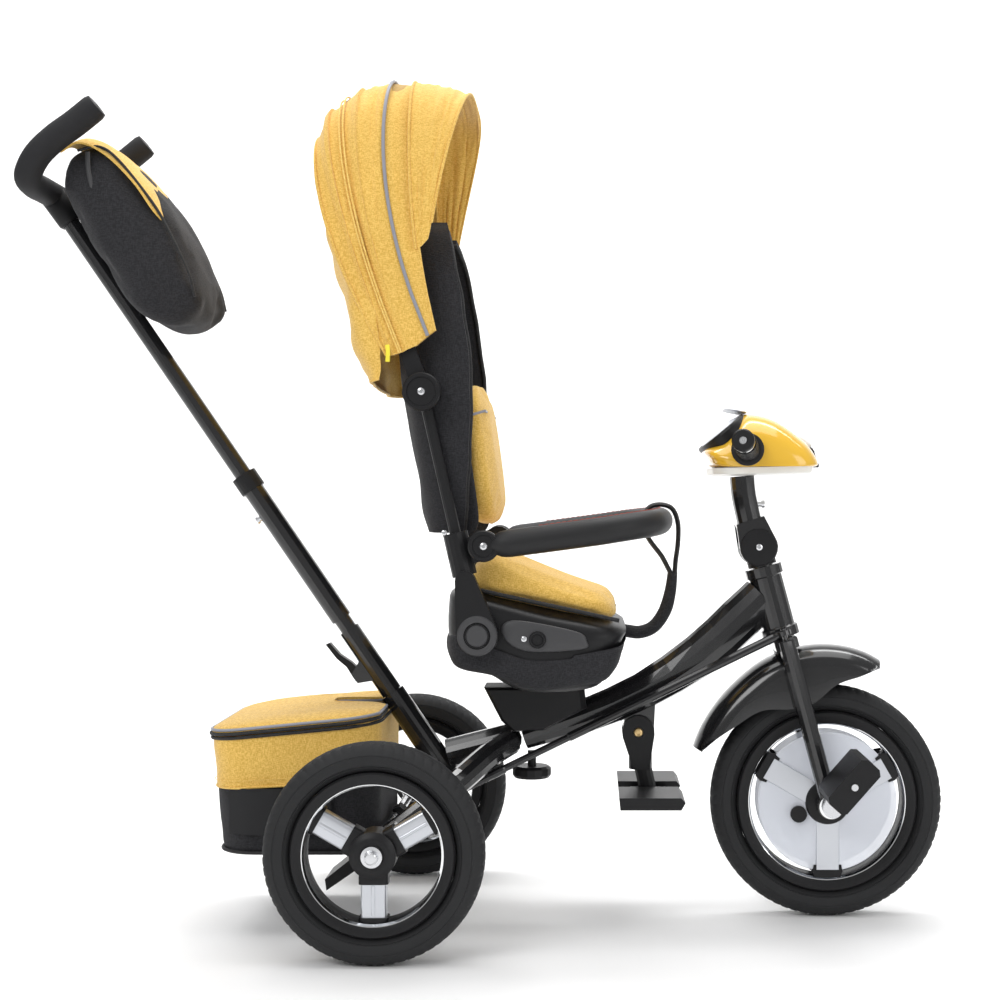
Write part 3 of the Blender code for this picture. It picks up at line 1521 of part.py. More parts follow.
def make_bumper():
    pivot = BUMPER_PIVOT
    half = [
        place(pivot[0] + 0.010, pivot[1] + 0.001, -BUMPER_ACROSS),
        place(0.190, 0.4860, -BUMPER_ACROSS),
        place(0.245, 0.4935, -BUMPER_ACROSS),
        place(0.290, 0.5000, -BUMPER_ACROSS * 0.93),
        place(0.322, 0.5045, -BUMPER_ACROSS * 0.72),
        place(0.335, 0.5060, -BUMPER_ACROSS * 0.38),
        place(*BUMPER_FRONT),
    ]
    path = smooth_path(mirror_path(half), 2)
    sizes = [BUMPER_RADIUS] * len(path)
    sizes[0] = sizes[-1] = 0.0080
    bar = tube("bumper_bar", path, sizes, "bumper_leather", across=UP)
    discs = []
    for _, sign in SIDES:
        ys = sorted((sign * DISC_INNER, sign * DISC_OUTER))
        discs.append(slab("disc", disc_outline(pivot, BUMPER_DISC_RADIUS), ys[0], ys[1], "black_plastic"))
    joined(bar, *discs)
    rooms = []
    for _, sign in SIDES:
        ys = sorted((sign * 0.12, sign * (DISC_INNER - 0.0001)))
        rooms.append(slab("room", disc_outline(BUMPER_PIVOT, 0.0290), ys[0], ys[1], "zinc_steel"))
    cut(bar, *rooms)
    loop_points = [
        place(0.3532, 0.4430),
        place(0.3400, 0.4620),
        place(0.3240, 0.4820),
        place(0.3150, 0.5040),
        place(0.3230, 0.5250),
        place(0.3400, 0.5310),
        place(0.3560, 0.5210),
        place(0.3610, 0.5020),
        place(0.3600, 0.4780),
        place(0.3570, 0.4560),
    ]
    path = loop_points
    oval_bar("bumper_loop", path, [(0.010, 0.0016)] * len(path), "black_fabric", sides=8, closed=True)


# Footrest
FOOTREST_CHEEK_RADIUS = 0.0210
LEG_RADIUS = 0.0115
PLATE_TOP = 0.1670
PLATE_THICKNESS = 0.0150


def make_footrest():
    pivot = FOOTREST_PIVOT
    leg_top, leg_low = (pivot[0] + 0.003, pivot[1] - 0.032), (0.3220, PLATE_TOP - PLATE_THICKNESS * 0.4)
    leg = tube("footrest_leg", [place(*leg_top), place(*leg_low)], LEG_RADIUS, "black_plastic")
    parts = []
    for _, sign in SIDES:
        ys = sorted((sign * (FOOTREST_TONGUE_HALF + SIDE_GAP), sign * (FOOTREST_TONGUE_HALF + 0.007)))
        parts.append(
            slab(
                "cheek",
                teardrop(pivot, FOOTREST_CHEEK_RADIUS, (leg_top[0], leg_top[1] - 0.004), 0.0125),
                ys[0],
                ys[1],
                "black_plastic",
            )
        )
    clamp_low, clamp_high = place(leg_top[0], leg_top[1] - 0.016), place(leg_top[0], leg_top[1] + 0.0065)
    parts.append(cylinder("clamp", clamp_low, clamp_high, 0.0150, "black_plastic", 16))
    joined(leg, *parts)
    cross = block(
        "footrest_plates",
        (0.300, -0.030, PLATE_TOP - PLATE_THICKNESS),
        (0.346, 0.030, PLATE_TOP - 0.006),
        "black_plastic",
    )
    treads = []
    for _, sign in SIDES:
        ys = sorted((sign * 0.020, sign * 0.100))
        outline = [
            (0.2835, PLATE_TOP),
            (0.2850, PLATE_TOP - PLATE_THICKNESS),
            (0.3600, PLATE_TOP - PLATE_THICKNESS),
        ]
        outline += [(0.3650, PLATE_TOP - 0.006), (0.3600, PLATE_TOP)]
        treads.append(slab("tread", outline, ys[0], ys[1], "black_plastic"))
    joined(cross, *treads)
    leg_room = tube(
        "leg_room",
        [place(*leg_top), place(leg_low[0] + 0.0002, leg_low[1] - TOUCH_GAP)],
        LEG_RADIUS + TOUCH_GAP,
        "zinc_steel",
    )
    cut(cross, leg_room)


# Foot brake on the rear axle
def make_brake_pedal():
    height = REAR_WHEEL_RADIUS
    arm = slab(
        "brake_pedal",
        [
            (0.012, height + 0.006),
            (0.004, height + 0.013),
            (-0.0045, height + 0.009),
            (-0.0060, height - 0.030),
            (-0.0500, height - 0.050),
            (-0.0860, height - 0.078),
            (-0.0840, height - 0.089),
            (-0.0460, height - 0.064),
            (0.0060, height - 0.044),
            (0.0130, height - 0.010),
        ],
        -0.013,
        0.013,
        "black_plastic",
    )
    tread = slab(
        "tread",
        [
            (-0.050, height - 0.046),
            (-0.088, height - 0.076),
            (-0.086, height - 0.090),
            (-0.048, height - 0.064),
        ],
        -0.034,
        0.034,
        "black_plastic",
    )
    joined(arm, tread)
    cut(
        arm,
        cylinder(
            "axle_room",
            REAR_AXLE - ACROSS * 0.05,
            REAR_AXLE + ACROSS * 0.05,
            AXLE_RADIUS + RUN_GAP,
            "zinc_steel",
            12,
        ),
    )


# Moving groups: each empty stands on its joint's axis, and the nodes that move with it hang from it
MOVING = (
    ("steer_axis", on_steer(HEAD_LOW), None, ("fork", "fold_knuckle", "front_mudguard")),
    ("handlebar_fold_axis", on_steer(KNUCKLE_ALONG), "steer_axis",
     (
         "stem_tube",
         "console_shell",
         "console_base",
         "head_lamp",
         "handlebar_tube",
         "grip_right",
         "grip_left",
     )),
    ("stem_button_axis", place(0.4480, STEM_BUTTON_HEIGHT), "handlebar_fold_axis", ("stem_button",)),
    (
        "front_wheel_axis",
        FRONT_AXLE,
        "steer_axis",
        ("front_tyre", "front_rim", "wheel_covers", "crankshaft"),
    ),
    ("freewheel_button_axis", FRONT_AXLE, "front_wheel_axis", ("freewheel_button",)),
    ("pedal_right_axis", FRONT_AXLE + crank_end(-1.0), "front_wheel_axis", ("pedal_right",)),
    ("pedal_left_axis", FRONT_AXLE + crank_end(1.0), "front_wheel_axis", ("pedal_left",)),
    ("rear_wheel_right_axis", REAR_AXLE, None, ("rear_tyre_right", "rear_rim_right")),
    ("rear_wheel_left_axis", REAR_AXLE, None, ("rear_tyre_left", "rear_rim_left")),
    ("push_bar_axis", BAR_FOOT, None, ("push_bar_sleeve", "push_bar_outer_tube", "push_bar_collar")),
    (
        "push_bar_slide_axis",
        BAR_FOOT,
        "push_bar_axis",
        ("push_bar_inner_tube", "push_handle", "handle_bag"),
    ),
    ("telescope_button_axis", on_bar(BUTTON_ALONG), "push_bar_axis", ("telescope_button",)),
    ("latch_axis", on_bar(LATCH_ALONG, LATCH_BACK), "push_bar_axis", ("latch_lever",)),
    ("steering_rod_axis", on_steer(LEVER_EYE_ALONG, 0.0, -STEER_LEVER), "steer_axis", ("steering_rod",)),
    ("seat_axis", place(SWIVEL_X, STAND_TOP), None, ("seat_shell", "seat_cushion", "crotch_strap")),
    ("seat_knob_axis", place(SWIVEL_X, 0.19), None, ("seat_knob",)),
    ("recline_axis", place(*RECLINE_PIVOT), "seat_axis",
     ("recline_arm_right", "recline_arm_left", "backrest_shell", "back_cushion", "canopy_rear_curtain")),
    ("recline_button_right_axis", place(*RECLINE_PIVOT), "recline_axis", ("recline_button_right",)),
    ("recline_button_left_axis", place(*RECLINE_PIVOT), "recline_axis", ("recline_button_left",)),
    (
        "canopy_axis",
        place(*CANOPY_PIVOT),
        "recline_axis",
        ("canopy_shell", "canopy_arm_right", "canopy_arm_left"),
    ),
    ("bumper_axis", place(*BUMPER_PIVOT), "recline_axis", ("bumper_bar", "bumper_loop")),
    ("footrest_axis", place(*FOOTREST_PIVOT), None, ("footrest_leg", "footrest_plates")),
    ("brake_axis", REAR_AXLE, None, ("brake_pedal",)),
    ("basket_lid_axis", place(*LID_HINGE), None, ("basket_lid",)),
)


def hang_moving_pieces():
    for name, spot, parent, nodes in MOVING:
        axis = bpy.data.objects.new(name, None)
        axis.empty_display_size = 0.03
        bpy.context.scene.collection.objects.link(axis)
        if parent:
            axis.parent = bpy.data.objects[parent]
            axis.location = spot - parent_spots[parent]
        else:
            axis.location = spot
        parent_spots[name] = spot
        for node in nodes:
            obj = bpy.data.objects[node]
            obj.data.transform(Matrix.Translation(-spot))
            obj.parent = axis


def shade_round_pieces():
    for obj in bpy.data.objects:
        if obj.type == "MESH":
            obj.data.shade_smooth()
            obj.data.set_sharp_from_angle(angle=math.radians(35.0))


parent_spots = {}
make_main_tube()
make_head_tube()
make_rear_frame()
make_seat_stand()
make_basket()
make_fork()
make_fold_knuckle()
make_mudguard()
make_rear_wheels()
make_front_wheel()
make_cranks()
make_handlebar()
make_push_bar_lower()
make_push_bar_upper()
make_steering_rod()
make_seat()
make_seat_knob()
make_back_frame()
make_backrest()
make_canopy()
make_bumper()
make_footrest()
make_brake_pedal()
hang_moving_pieces()
shade_round_pieces()
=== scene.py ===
"""The tricycle's look: cloth, tyres, wheels, trim and finishes round the fixed frame."""

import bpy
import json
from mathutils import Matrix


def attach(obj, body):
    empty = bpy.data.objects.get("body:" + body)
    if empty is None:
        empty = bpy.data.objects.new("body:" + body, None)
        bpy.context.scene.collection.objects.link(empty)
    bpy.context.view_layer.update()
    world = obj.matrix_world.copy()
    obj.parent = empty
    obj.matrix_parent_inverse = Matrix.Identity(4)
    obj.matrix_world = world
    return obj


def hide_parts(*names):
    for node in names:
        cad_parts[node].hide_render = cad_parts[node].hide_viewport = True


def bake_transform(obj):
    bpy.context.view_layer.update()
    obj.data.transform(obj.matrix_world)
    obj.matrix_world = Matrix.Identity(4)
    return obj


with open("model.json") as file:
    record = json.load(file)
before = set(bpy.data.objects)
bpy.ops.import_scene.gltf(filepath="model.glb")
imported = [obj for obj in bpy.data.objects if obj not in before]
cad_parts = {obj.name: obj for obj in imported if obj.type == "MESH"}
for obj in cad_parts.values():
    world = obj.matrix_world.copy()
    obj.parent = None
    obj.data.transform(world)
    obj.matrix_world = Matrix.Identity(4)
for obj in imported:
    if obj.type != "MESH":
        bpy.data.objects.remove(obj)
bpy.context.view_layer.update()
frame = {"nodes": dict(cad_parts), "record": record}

import json
import math

import bmesh
import bpy
from mathutils import Vector, noise

REAR_AXLE_X = -0.1182
WHEELBASE = 0.55
REAR_WHEEL_RADIUS = 0.128
FRONT_WHEEL_RADIUS = 0.148
REAR_TRACK = 0.45
HEAD_ANGLE = math.radians(15.0)
PUSH_BAR_ANGLE = math.radians(34.4)
UP = Vector((0.0, 0.0, 1.0))
ACROSS = Vector((0.0, 1.0, 0.0))
AHEAD = Vector((1.0, 0.0, 0.0))
SIDES = (("right", -1.0), ("left", 1.0))
RECLINE_PIVOT = (0.1138, 0.3716)  # pivots as (forward, height)
CANOPY_PIVOT = (0.0486, 0.661)
BUMPER_PIVOT = (0.1221, 0.4783)
FOOTREST_PIVOT = (0.3095, 0.2355)
FOLD_ALONG = 0.3357  # the handlebar's fold, up the steering axis from the front axle
BAR_MIDDLE = (0.4448, 0.5917)  # the handlebar's tube, as (forward, height)
CAMERA_SPOT = (0.1308, -2.105, 0.54)


def place(forward, height, across=0.0):
    """A point forward of the rear axle, above the ground and to the rider's left."""
    return Vector((REAR_AXLE_X + forward, across, height))


REAR_AXLE = place(0.0, REAR_WHEEL_RADIUS)
FRONT_AXLE = place(WHEELBASE, FRONT_WHEEL_RADIUS)
STEER_UP = Vector((-math.sin(HEAD_ANGLE), 0.0, math.cos(HEAD_ANGLE)))
STEER_AHEAD = Vector((math.cos(HEAD_ANGLE), 0.0, math.sin(HEAD_ANGLE)))
BAR_FOOT = place(0.0804, 0.1578)
BAR_UP = Vector((-math.sin(PUSH_BAR_ANGLE), 0.0, math.cos(PUSH_BAR_ANGLE)))
BAR_BACK = Vector((-math.cos(PUSH_BAR_ANGLE), 0.0, -math.sin(PUSH_BAR_ANGLE)))


def on_steer(along, ahead=0.0, across=0.0):
    return FRONT_AXLE + STEER_UP * along + STEER_AHEAD * ahead + ACROSS * across


def on_bar(along, back=0.0, across=0.0):
    return BAR_FOOT + BAR_UP * along + BAR_BACK * back + ACROSS * across


# Finishes


class Term:
    """A shader value that can be added, multiplied and so on."""

    def __init__(self, paint, socket):
        self.paint, self.socket = paint, socket

    def maths(self, operation, *others):
        sockets = {0: self}
        sockets.update({i + 1: other for i, other in enumerate(others)})
        return self.paint.node("Math", {"operation": operation}, sockets)

    def __add__(self, other):
        return self.maths("ADD", other)

    def __mul__(self, other):
        return self.maths("MULTIPLY", other)

    def above(self, edge, width):
        """0 below the edge and 1 above it, turning over this width."""
        settings = {"interpolation_type": "SMOOTHSTEP"}
        return self.paint.node("MapRange", settings, {0: self, 1: edge - width / 2, 2: edge + width / 2})


class Paint:
    """A procedural material with a Principled shader."""

    def __init__(self, name, colour, roughness, metallic=0.0, **more):
        self.material = bpy.data.materials.new(name)
        self.material.use_nodes = True
        self.tree = self.material.node_tree
        self.shader = self.tree.nodes["Principled BSDF"]
        self.shader.inputs["Base Color"].default_value = (*colour, 1.0)
        self.shader.inputs["Roughness"].default_value = roughness
        self.shader.inputs["Metallic"].default_value = metallic
        for socket, value in more.items():
            self.shader.inputs[socket.replace("_", " ")].default_value = value
        self.coordinates = self.node("TexCoord", {}, {}, "Object")

    def node(self, kind, settings, inputs, output=0):
        made = self.tree.nodes.new("ShaderNode" + kind)
        for key, value in settings.items():
            setattr(made, key, value)
        for key, value in inputs.items():
            if isinstance(value, Term):
                self.tree.links.new(value.socket, made.inputs[key])
            else:
                made.inputs[key].default_value = value
        return Term(self, made.outputs[output])

    def noise(self, scale, detail=3.0, stretch=(1.0, 1.0, 1.0)):
        where = self.node("VectorMath", {"operation": "MULTIPLY"}, {0: self.coordinates, 1: stretch})
        return self.node("TexNoise", {}, {"Vector": where, "Scale": scale, "Detail": detail}, "Fac")

    def mix(self, factor, first, second):
        settings = {"data_type": "RGBA"}
        inputs = {0: factor, 6: first, 7: second}
        return self.node("Mix", settings, inputs, 2)

    def set(self, socket, term):
        self.tree.links.new(term.socket, self.shader.inputs[socket])

    def bump(self, height, strength, distance):
        self.set(
            "Normal", self.node("Bump", {}, {"Height": height, "Strength": strength, "Distance": distance})
        )


def grained(name, colour, roughness, scale, depth, metallic=0.0, spread=0.06, **more):
    """A finish with a fine grain and a faint unevenness in its shine."""
    paint = Paint(name, colour, roughness, metallic, **more)
    paint.set("Roughness", paint.noise(22.0) * spread + (roughness - spread / 2))
    paint.bump(paint.noise(scale), 0.5, depth)
    return paint.material


def cloth(name, colour, pale, weave=1500.0, roughness=0.9, sheen=0.25):
    """Woven cloth of mixed darker and paler threads."""
    paint = Paint(name, colour, roughness, Sheen_Weight=sheen)
    across = paint.noise(weave, 2.0, (1.0, 1.0, 0.16))
    along = paint.noise(weave, 2.0, (0.16, 0.16, 1.0))
    flecks = (across + along).above(1.0, 0.34)
    worn = paint.mix(flecks, (*colour, 1.0), (*pale, 1.0))
    shade = paint.noise(9.0).above(0.5, 0.5)
    paint.set("Base Color", paint.mix(shade * 0.16, worn, (*[c * 0.72 for c in colour], 1.0)))
    paint.bump(across + along, 0.6, 0.0006)
    return paint.material


def netting(name, colour, pitch, gap):
    """Open mesh cloth: round holes in rows."""
    paint = Paint(name, colour, 0.8)
    split = paint.node("SeparateXYZ", {}, {0: paint.coordinates})
    outputs = split.socket.node.outputs
    rows = []
    for term in (Term(paint, outputs[0]) + Term(paint, outputs[1]), Term(paint, outputs[2])):
        rows.append((term * (2 * math.pi / pitch)).maths("SINE"))
    paint.set("Alpha", (rows[0] * rows[1]).above(gap, 0.1).maths("MULTIPLY_ADD", -1.0, 1.0))
    return paint.material


FINISHES = {
    "gloss_black": grained("gloss_black", (0.01, 0.01, 0.011), 0.18, 700.0, 0.00004, Coat_Weight=0.5),
    "satin_black": grained(
        "satin_black", (0.008, 0.008, 0.009), 0.42, 2400.0, 0.00012, Specular_IOR_Level=0.3
    ),
    "dark_grey": grained("dark_grey", (0.045, 0.045, 0.048), 0.5, 2000.0, 0.0001),
    "tyre": grained(
        "tyre", (0.018, 0.0183, 0.0195), 0.66, 900.0, 0.0002, spread=0.14, Specular_IOR_Level=0.3
    ),
    "foam": grained("foam", (0.014, 0.014, 0.016), 0.72, 1800.0, 0.0003, Specular_IOR_Level=0.35),
    "leather": grained(
        "leather", (0.013, 0.013, 0.014), 0.5, 900.0, 0.0004, spread=0.12, Specular_IOR_Level=0.35
    ),
    "zinc": grained("zinc", (0.7, 0.71, 0.73), 0.26, 900.0, 0.00003, 1.0, 0.1),
    "brass": grained("brass", (0.72, 0.52, 0.25), 0.3, 900.0, 0.00003, 1.0, 0.1),
    "silver_paint": grained("silver_paint", (0.62, 0.64, 0.68), 0.3, 1600.0, 0.00005, 0.75, 0.08),
    "chrome": grained("chrome", (0.86, 0.87, 0.88), 0.08, 500.0, 0.00001, 1.0, 0.03),
    "yellow_gloss": grained("yellow_gloss", (0.8, 0.47, 0.035), 0.16, 500.0, 0.00004, Coat_Weight=0.6),
    "white_plastic": grained("white_plastic", (0.8, 0.79, 0.75), 0.3, 1400.0, 0.00005),
    "cover": grained("cover", (0.84, 0.87, 0.94), 0.2, 500.0, 0.00004, Alpha=0.62),
    "yellow_cloth": cloth("yellow_cloth", (0.7, 0.405, 0.062), (0.93, 0.62, 0.16)),
    # The lining's darker yellow is painted shade: the canopy's yellow cloth darkened as if in shade under
    # the canopy.
    "yellow_lining_painted_shade": cloth("yellow_lining_painted_shade", (0.42, 0.25, 0.05), (0.54, 0.34, 0.09)),
    "pale_yellow_cloth": cloth("pale_yellow_cloth", (0.8, 0.5, 0.09), (0.96, 0.7, 0.22)),
    "black_cloth": cloth("black_cloth", (0.009, 0.009, 0.011), (0.024, 0.024, 0.028), 1300.0, sheen=0.03),
    "black_webbing": cloth("black_webbing", (0.008, 0.008, 0.009), (0.02, 0.02, 0.022), 900.0, 0.7, 0.03),
    "grey_piping": grained("grey_piping", (0.27, 0.28, 0.33), 0.42, 1500.0, 0.0001),
    "yellow_zip": grained("yellow_zip", (0.92, 0.8, 0.05), 0.4, 1500.0, 0.0001),
    "red_thread": grained("red_thread", (0.3, 0.05, 0.03), 0.7, 1500.0, 0.0001),
    "black_net": netting("black_net", (0.018, 0.018, 0.02), 0.0034, 0.42),
}

CAD_FINISHES = {
    "gloss_black_paint": "gloss_black", "zinc_steel": "zinc", "black_plastic": "satin_black",
    "black_fabric": "black_cloth", "yellow_fabric": "yellow_cloth", "yellow_plastic": "yellow_gloss",
    "tyre_rubber": "tyre", "grip_foam": "foam", "clear_cover": "cover", "pale_plastic": "white_plastic",
    "bumper_leather": "leather"
}
slot_of = {entry["node"]: entry["material_slot"] for entry in frame["record"]["subparts"]}
for node_name, node in frame["nodes"].items():
    node.data.materials.clear()
    node.data.materials.append(FINISHES[CAD_FINISHES[slot_of[node_name]]])


# Shapes


def piece(name, bm, finish, body, smooth=40.0):
    """A finished piece on its body."""
    bmesh.ops.remove_doubles(bm, verts=bm.verts, dist=1e-6)
    bmesh.ops.recalc_face_normals(bm, faces=bm.faces)
    mesh = bpy.data.meshes.new(name)
    bm.to_mesh(mesh)
    bm.free()
    mesh.materials.append(FINISHES[finish])
    mesh.shade_smooth()
    mesh.set_sharp_from_angle(angle=math.radians(smooth))
    obj = bpy.data.objects.new(name, mesh)
    bpy.context.scene.collection.objects.link(obj)
    if body:
        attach(obj, body)
    return obj


def stands_in(node):
    """Hides the solid, so that the piece made in its place shows instead."""
    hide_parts(node)


def around(k, count):
    """Cosine and sine of step k of this many round a circle."""
    angle = 2 * math.pi * k / count
    return math.cos(angle), math.sin(angle)


def over(k, count):
    """Across from -1 to 1 and up from 0 to 1 and back, at step k of this many over a half circle."""
    angle = math.pi * k / count
    return -math.cos(angle), math.sin(angle)


def bent(value, power):
    """A value raised to a power, keeping its sign: it squares off a circle."""
    return math.copysign(abs(value) ** power, value)


def baked(obj):
    """The mesh that the object's modifiers make of it; they are used up."""
    graph = bpy.context.evaluated_depsgraph_get()
    mesh = bpy.data.meshes.new_from_object(obj.evaluated_get(graph))
    obj.modifiers.clear()
    return mesh


def loft(name, rings, finish, body, closed=False, smooth=40.0, round_too=True):
    """A skin over rings of points, capped at both ends unless its last ring joins its first."""
    bm = bmesh.new()
    rows = [[bm.verts.new(point) for point in ring] for ring in rings]
    count = len(rings[0])
    pairs = list(zip(rows, rows[1:] + rows[:1])) if closed else list(zip(rows, rows[1:]))
    for first, second in pairs:
        for i in range(count if round_too else count - 1):
            j = (i + 1) % count
            bm.faces.new((first[i], first[j], second[j], second[i]))
    if not closed:
        bm.faces.new(rows[0])
        bm.faces.new(rows[-1][::-1])
    return piece(name, bm, finish, body, smooth)


def points_of(pairs, across=0.0):
    """Places from (forward, height) pairs, this far across."""
    return [place(x, z, across) for x, z in pairs]


def both_sides(half):
    """A line of points from the right to the middle, carried on to the left."""
    return half + [Vector((p.x, -p.y, p.z)) for p in half[-2::-1]]


def curve_through(points, steps=6, closed=False):
    """Points of a smooth curve through these points."""
    count = len(points)
    path = []
    for i in range(count if closed else count - 1):
        if closed:
            p0, p1, p2, p3 = (points[(i + k) % count] for k in (-1, 0, 1, 2))
        else:
            p1, p2 = points[i], points[i + 1]
            p0 = points[i - 1] if i else 2 * p1 - p2
            p3 = points[i + 2] if i + 2 < count else 2 * p2 - p1
        for k in range(steps):
            t = k / steps
            path.append(
                0.5
                * (
                    2 * p1 + (p2 - p0) * t
                    + (2 * p0 - 5 * p1 + 4 * p2 - p3) * t**2 + (3 * p1 - p0 - 3 * p2 + p3) * t**3
                )
            )
    if not closed:
        path.append(points[-1].copy())
    return path


def tube(name, path, radius, finish, body, sides=16, across=ACROSS, closed=False, flat=1.0):
    """A bar along a path; flat is its height as a share of its width across. Radius may be a list."""
    radii = radius if isinstance(radius, list) else [radius] * len(path)
    rings = []
    last = len(path) - 1
    side = across.copy()
    for i, point in enumerate(path):
        if closed:
            ahead = path[(i + 1) % len(path)] - path[i - 1]
        else:
            ahead = path[min(i + 1, last)] - path[max(i - 1, 0)]
        ahead.normalize()
        side = (side - ahead * side.dot(ahead)).normalized()
        over = side.cross(ahead)
        ring = []
        for k in range(sides):
            angle = 2 * math.pi * k / sides
            ring.append(
                point + side * (radii[i] * math.cos(angle)) + over * (radii[i] * flat * math.sin(angle))
            )
        rings.append(ring)
    return loft(name, rings, finish, body, closed)


def turned(name, profile, centre, axis, finish, body, segments=48, hollow=False, smooth=35.0):
    """A turned shape from (radius, distance along the axis) points."""
    axis = axis.normalized()
    first = (UP if abs(axis.z) < 0.9 else AHEAD).copy()
    first = (first - axis * first.dot(axis)).normalized()
    second = axis.cross(first)
    bm = bmesh.new()
    rows = []
    for radius, along in profile:
        middle = centre + axis * along
        if radius < 1e-9:
            rows.append([bm.verts.new(middle)] * segments)
            continue
        angles = [2 * math.pi * k / segments for k in range(segments)]
        rows.append(
            [bm.verts.new(middle + (first * math.cos(a) + second * math.sin(a)) * radius) for a in angles]
        )
    pairs = list(zip(rows, rows[1:] + rows[:1])) if hollow else list(zip(rows, rows[1:]))
    for low, high in pairs:
        for i in range(segments):
            j = (i + 1) % segments
            corners = []
            for corner in (low[i], low[j], high[j], high[i]):
                if corner not in corners:
                    corners.append(corner)
            if len(corners) > 2:
                bm.faces.new(corners)
    return piece(name, bm, finish, body, smooth)


def pillow(
    name, outline, half, finish, body, fullness=3.0, rows=17, middle=0.0, wrinkle=0.0, closed_steps=5
):
    """A rounded solid: an outline of (forward, height) points that closes in towards its two sides."""
    ring = curve_through(points_of(outline), closed_steps, True)
    centre = sum(ring, Vector()) / len(ring)
    rings = []
    for r in range(rows + 1):
        t = math.sin(math.pi * (r / rows - 0.5)) * 0.9995
        share = (1 - abs(t) ** fullness) ** (1 / fullness)
        line = []
        for point in ring:
            out = point - centre
            spot = centre + out * share + ACROSS * (middle + half * t)
            lift = noise.noise(spot * 24.0) * wrinkle
            line.append(spot + out.normalized() * lift * share)
        rings.append(line)
    return loft(name, rings, finish, body, smooth=60.0)


def soft_sheet(name, grid, thickness, finish, body, smooth=70.0):
    """Cloth from a grid of points, given thickness towards the inside of its normals."""
    bm = bmesh.new()
    rows, columns = len(grid), len(grid[0])
    outer = [[bm.verts.new(p) for p in row] for row in grid]
    inner = []
    for i in range(rows):
        line = []
        for j in range(columns):
            down = grid[min(i + 1, rows - 1)][j] - grid[max(i - 1, 0)][j]
            over = grid[i][min(j + 1, columns - 1)] - grid[i][max(j - 1, 0)]
            line.append(bm.verts.new(grid[i][j] - down.cross(over).normalized() * thickness))
        inner.append(line)
    for i in range(rows - 1):
        for j in range(columns - 1):
            bm.faces.new((outer[i][j], outer[i][j + 1], outer[i + 1][j + 1], outer[i + 1][j]))
            bm.faces.new((inner[i][j], inner[i + 1][j], inner[i + 1][j + 1], inner[i][j + 1]))
    for i in range(rows - 1):
        for j in (0, columns - 1):
            bm.faces.new((outer[i][j], outer[i + 1][j], inner[i + 1][j], inner[i][j]))
    for j in range(columns - 1):
        for i in (0, rows - 1):
            bm.faces.new((outer[i][j], inner[i][j], inner[i][j + 1], outer[i][j + 1]))
    return piece(name, bm, finish, body, smooth)


def screw(name, centre, axis, radius, finish, body):
    """A domed screw head with a round socket."""
    socket = radius * 0.42
    profile = [
        (0.0, radius * 0.25), (socket, radius * 0.25), (socket, radius * 0.62), (radius * 0.8, radius * 0.5)
    ]
    profile += [(radius, radius * 0.15), (radius, 0.0), (0.0, 0.0)]
    return turned(name, profile, centre, axis, finish, body, 24, smooth=30.0)


def rounded_rectangle(rear, front, half_width, corner, steps=10):
    points = []
    for centre_x, centre_y, start in (
        (front - corner, half_width - corner, 0.0),
        (rear + corner, half_width - corner, 90.0),
        (rear + corner, -half_width + corner, 180.0),
        (front - corner, -half_width + corner, 270.0),
    ):
        for k in range(steps + 1):
            angle = math.radians(start + 90.0 * k / steps)
            points.append((centre_x + corner * math.cos(angle), centre_y + corner * math.sin(angle)))
    return points


# Wheels


def grooved_tyre(name, centre, radius, body, node):
    """A tyre with curved grooves across its tread and rings on its sidewalls."""
    half = 0.0225
    outline = [
        (radius - 0.033, 0.012), (radius - 0.0315, 0.015), (radius - 0.027, 0.0195),
        (radius - 0.0262, 0.019), (radius - 0.025, 0.0206), (radius - 0.02, 0.0222),
        (radius - 0.015, half), (radius - 0.0142, 0.0217), (radius - 0.013, 0.0221),
        (radius - 0.0085, 0.02), (radius - 0.005, 0.0172), (radius - 0.0026, 0.0138),
        (radius - 0.001, 0.01), (radius - 0.0002, 0.006), (radius, 0.002)
    ]
    profile = outline + [(r, -y) for r, y in outline[::-1]]
    count = int(radius * 3200)
    repeats = round(radius * 2 * math.pi / 0.0125)
    rings = []
    for k in range(count):
        angle = 2 * math.pi * k / count
        out = Vector((math.sin(angle), 0.0, -math.cos(angle)))
        ring = []
        for r, y in profile:
            depth = 0.0
            if r > radius - 0.012:
                phase = angle * repeats / (2 * math.pi) + abs(y) * 38.0 + (0.25 if y > 0 else 0.0)
                groove = abs((phase % 1.0) - 0.5)
                share = min(1.0, abs(y) / 0.005)
                depth = 0.0016 * max(0.0, 1.0 - groove / 0.16) * share
                if abs(abs(y) - 0.006) < 0.001:
                    depth = 0.0014
            ring.append(centre + out * (r - depth) + ACROSS * y)
        rings.append(ring)
    made = loft(name, rings, "tyre", body, closed=True, smooth=25.0)
    stands_in(node)


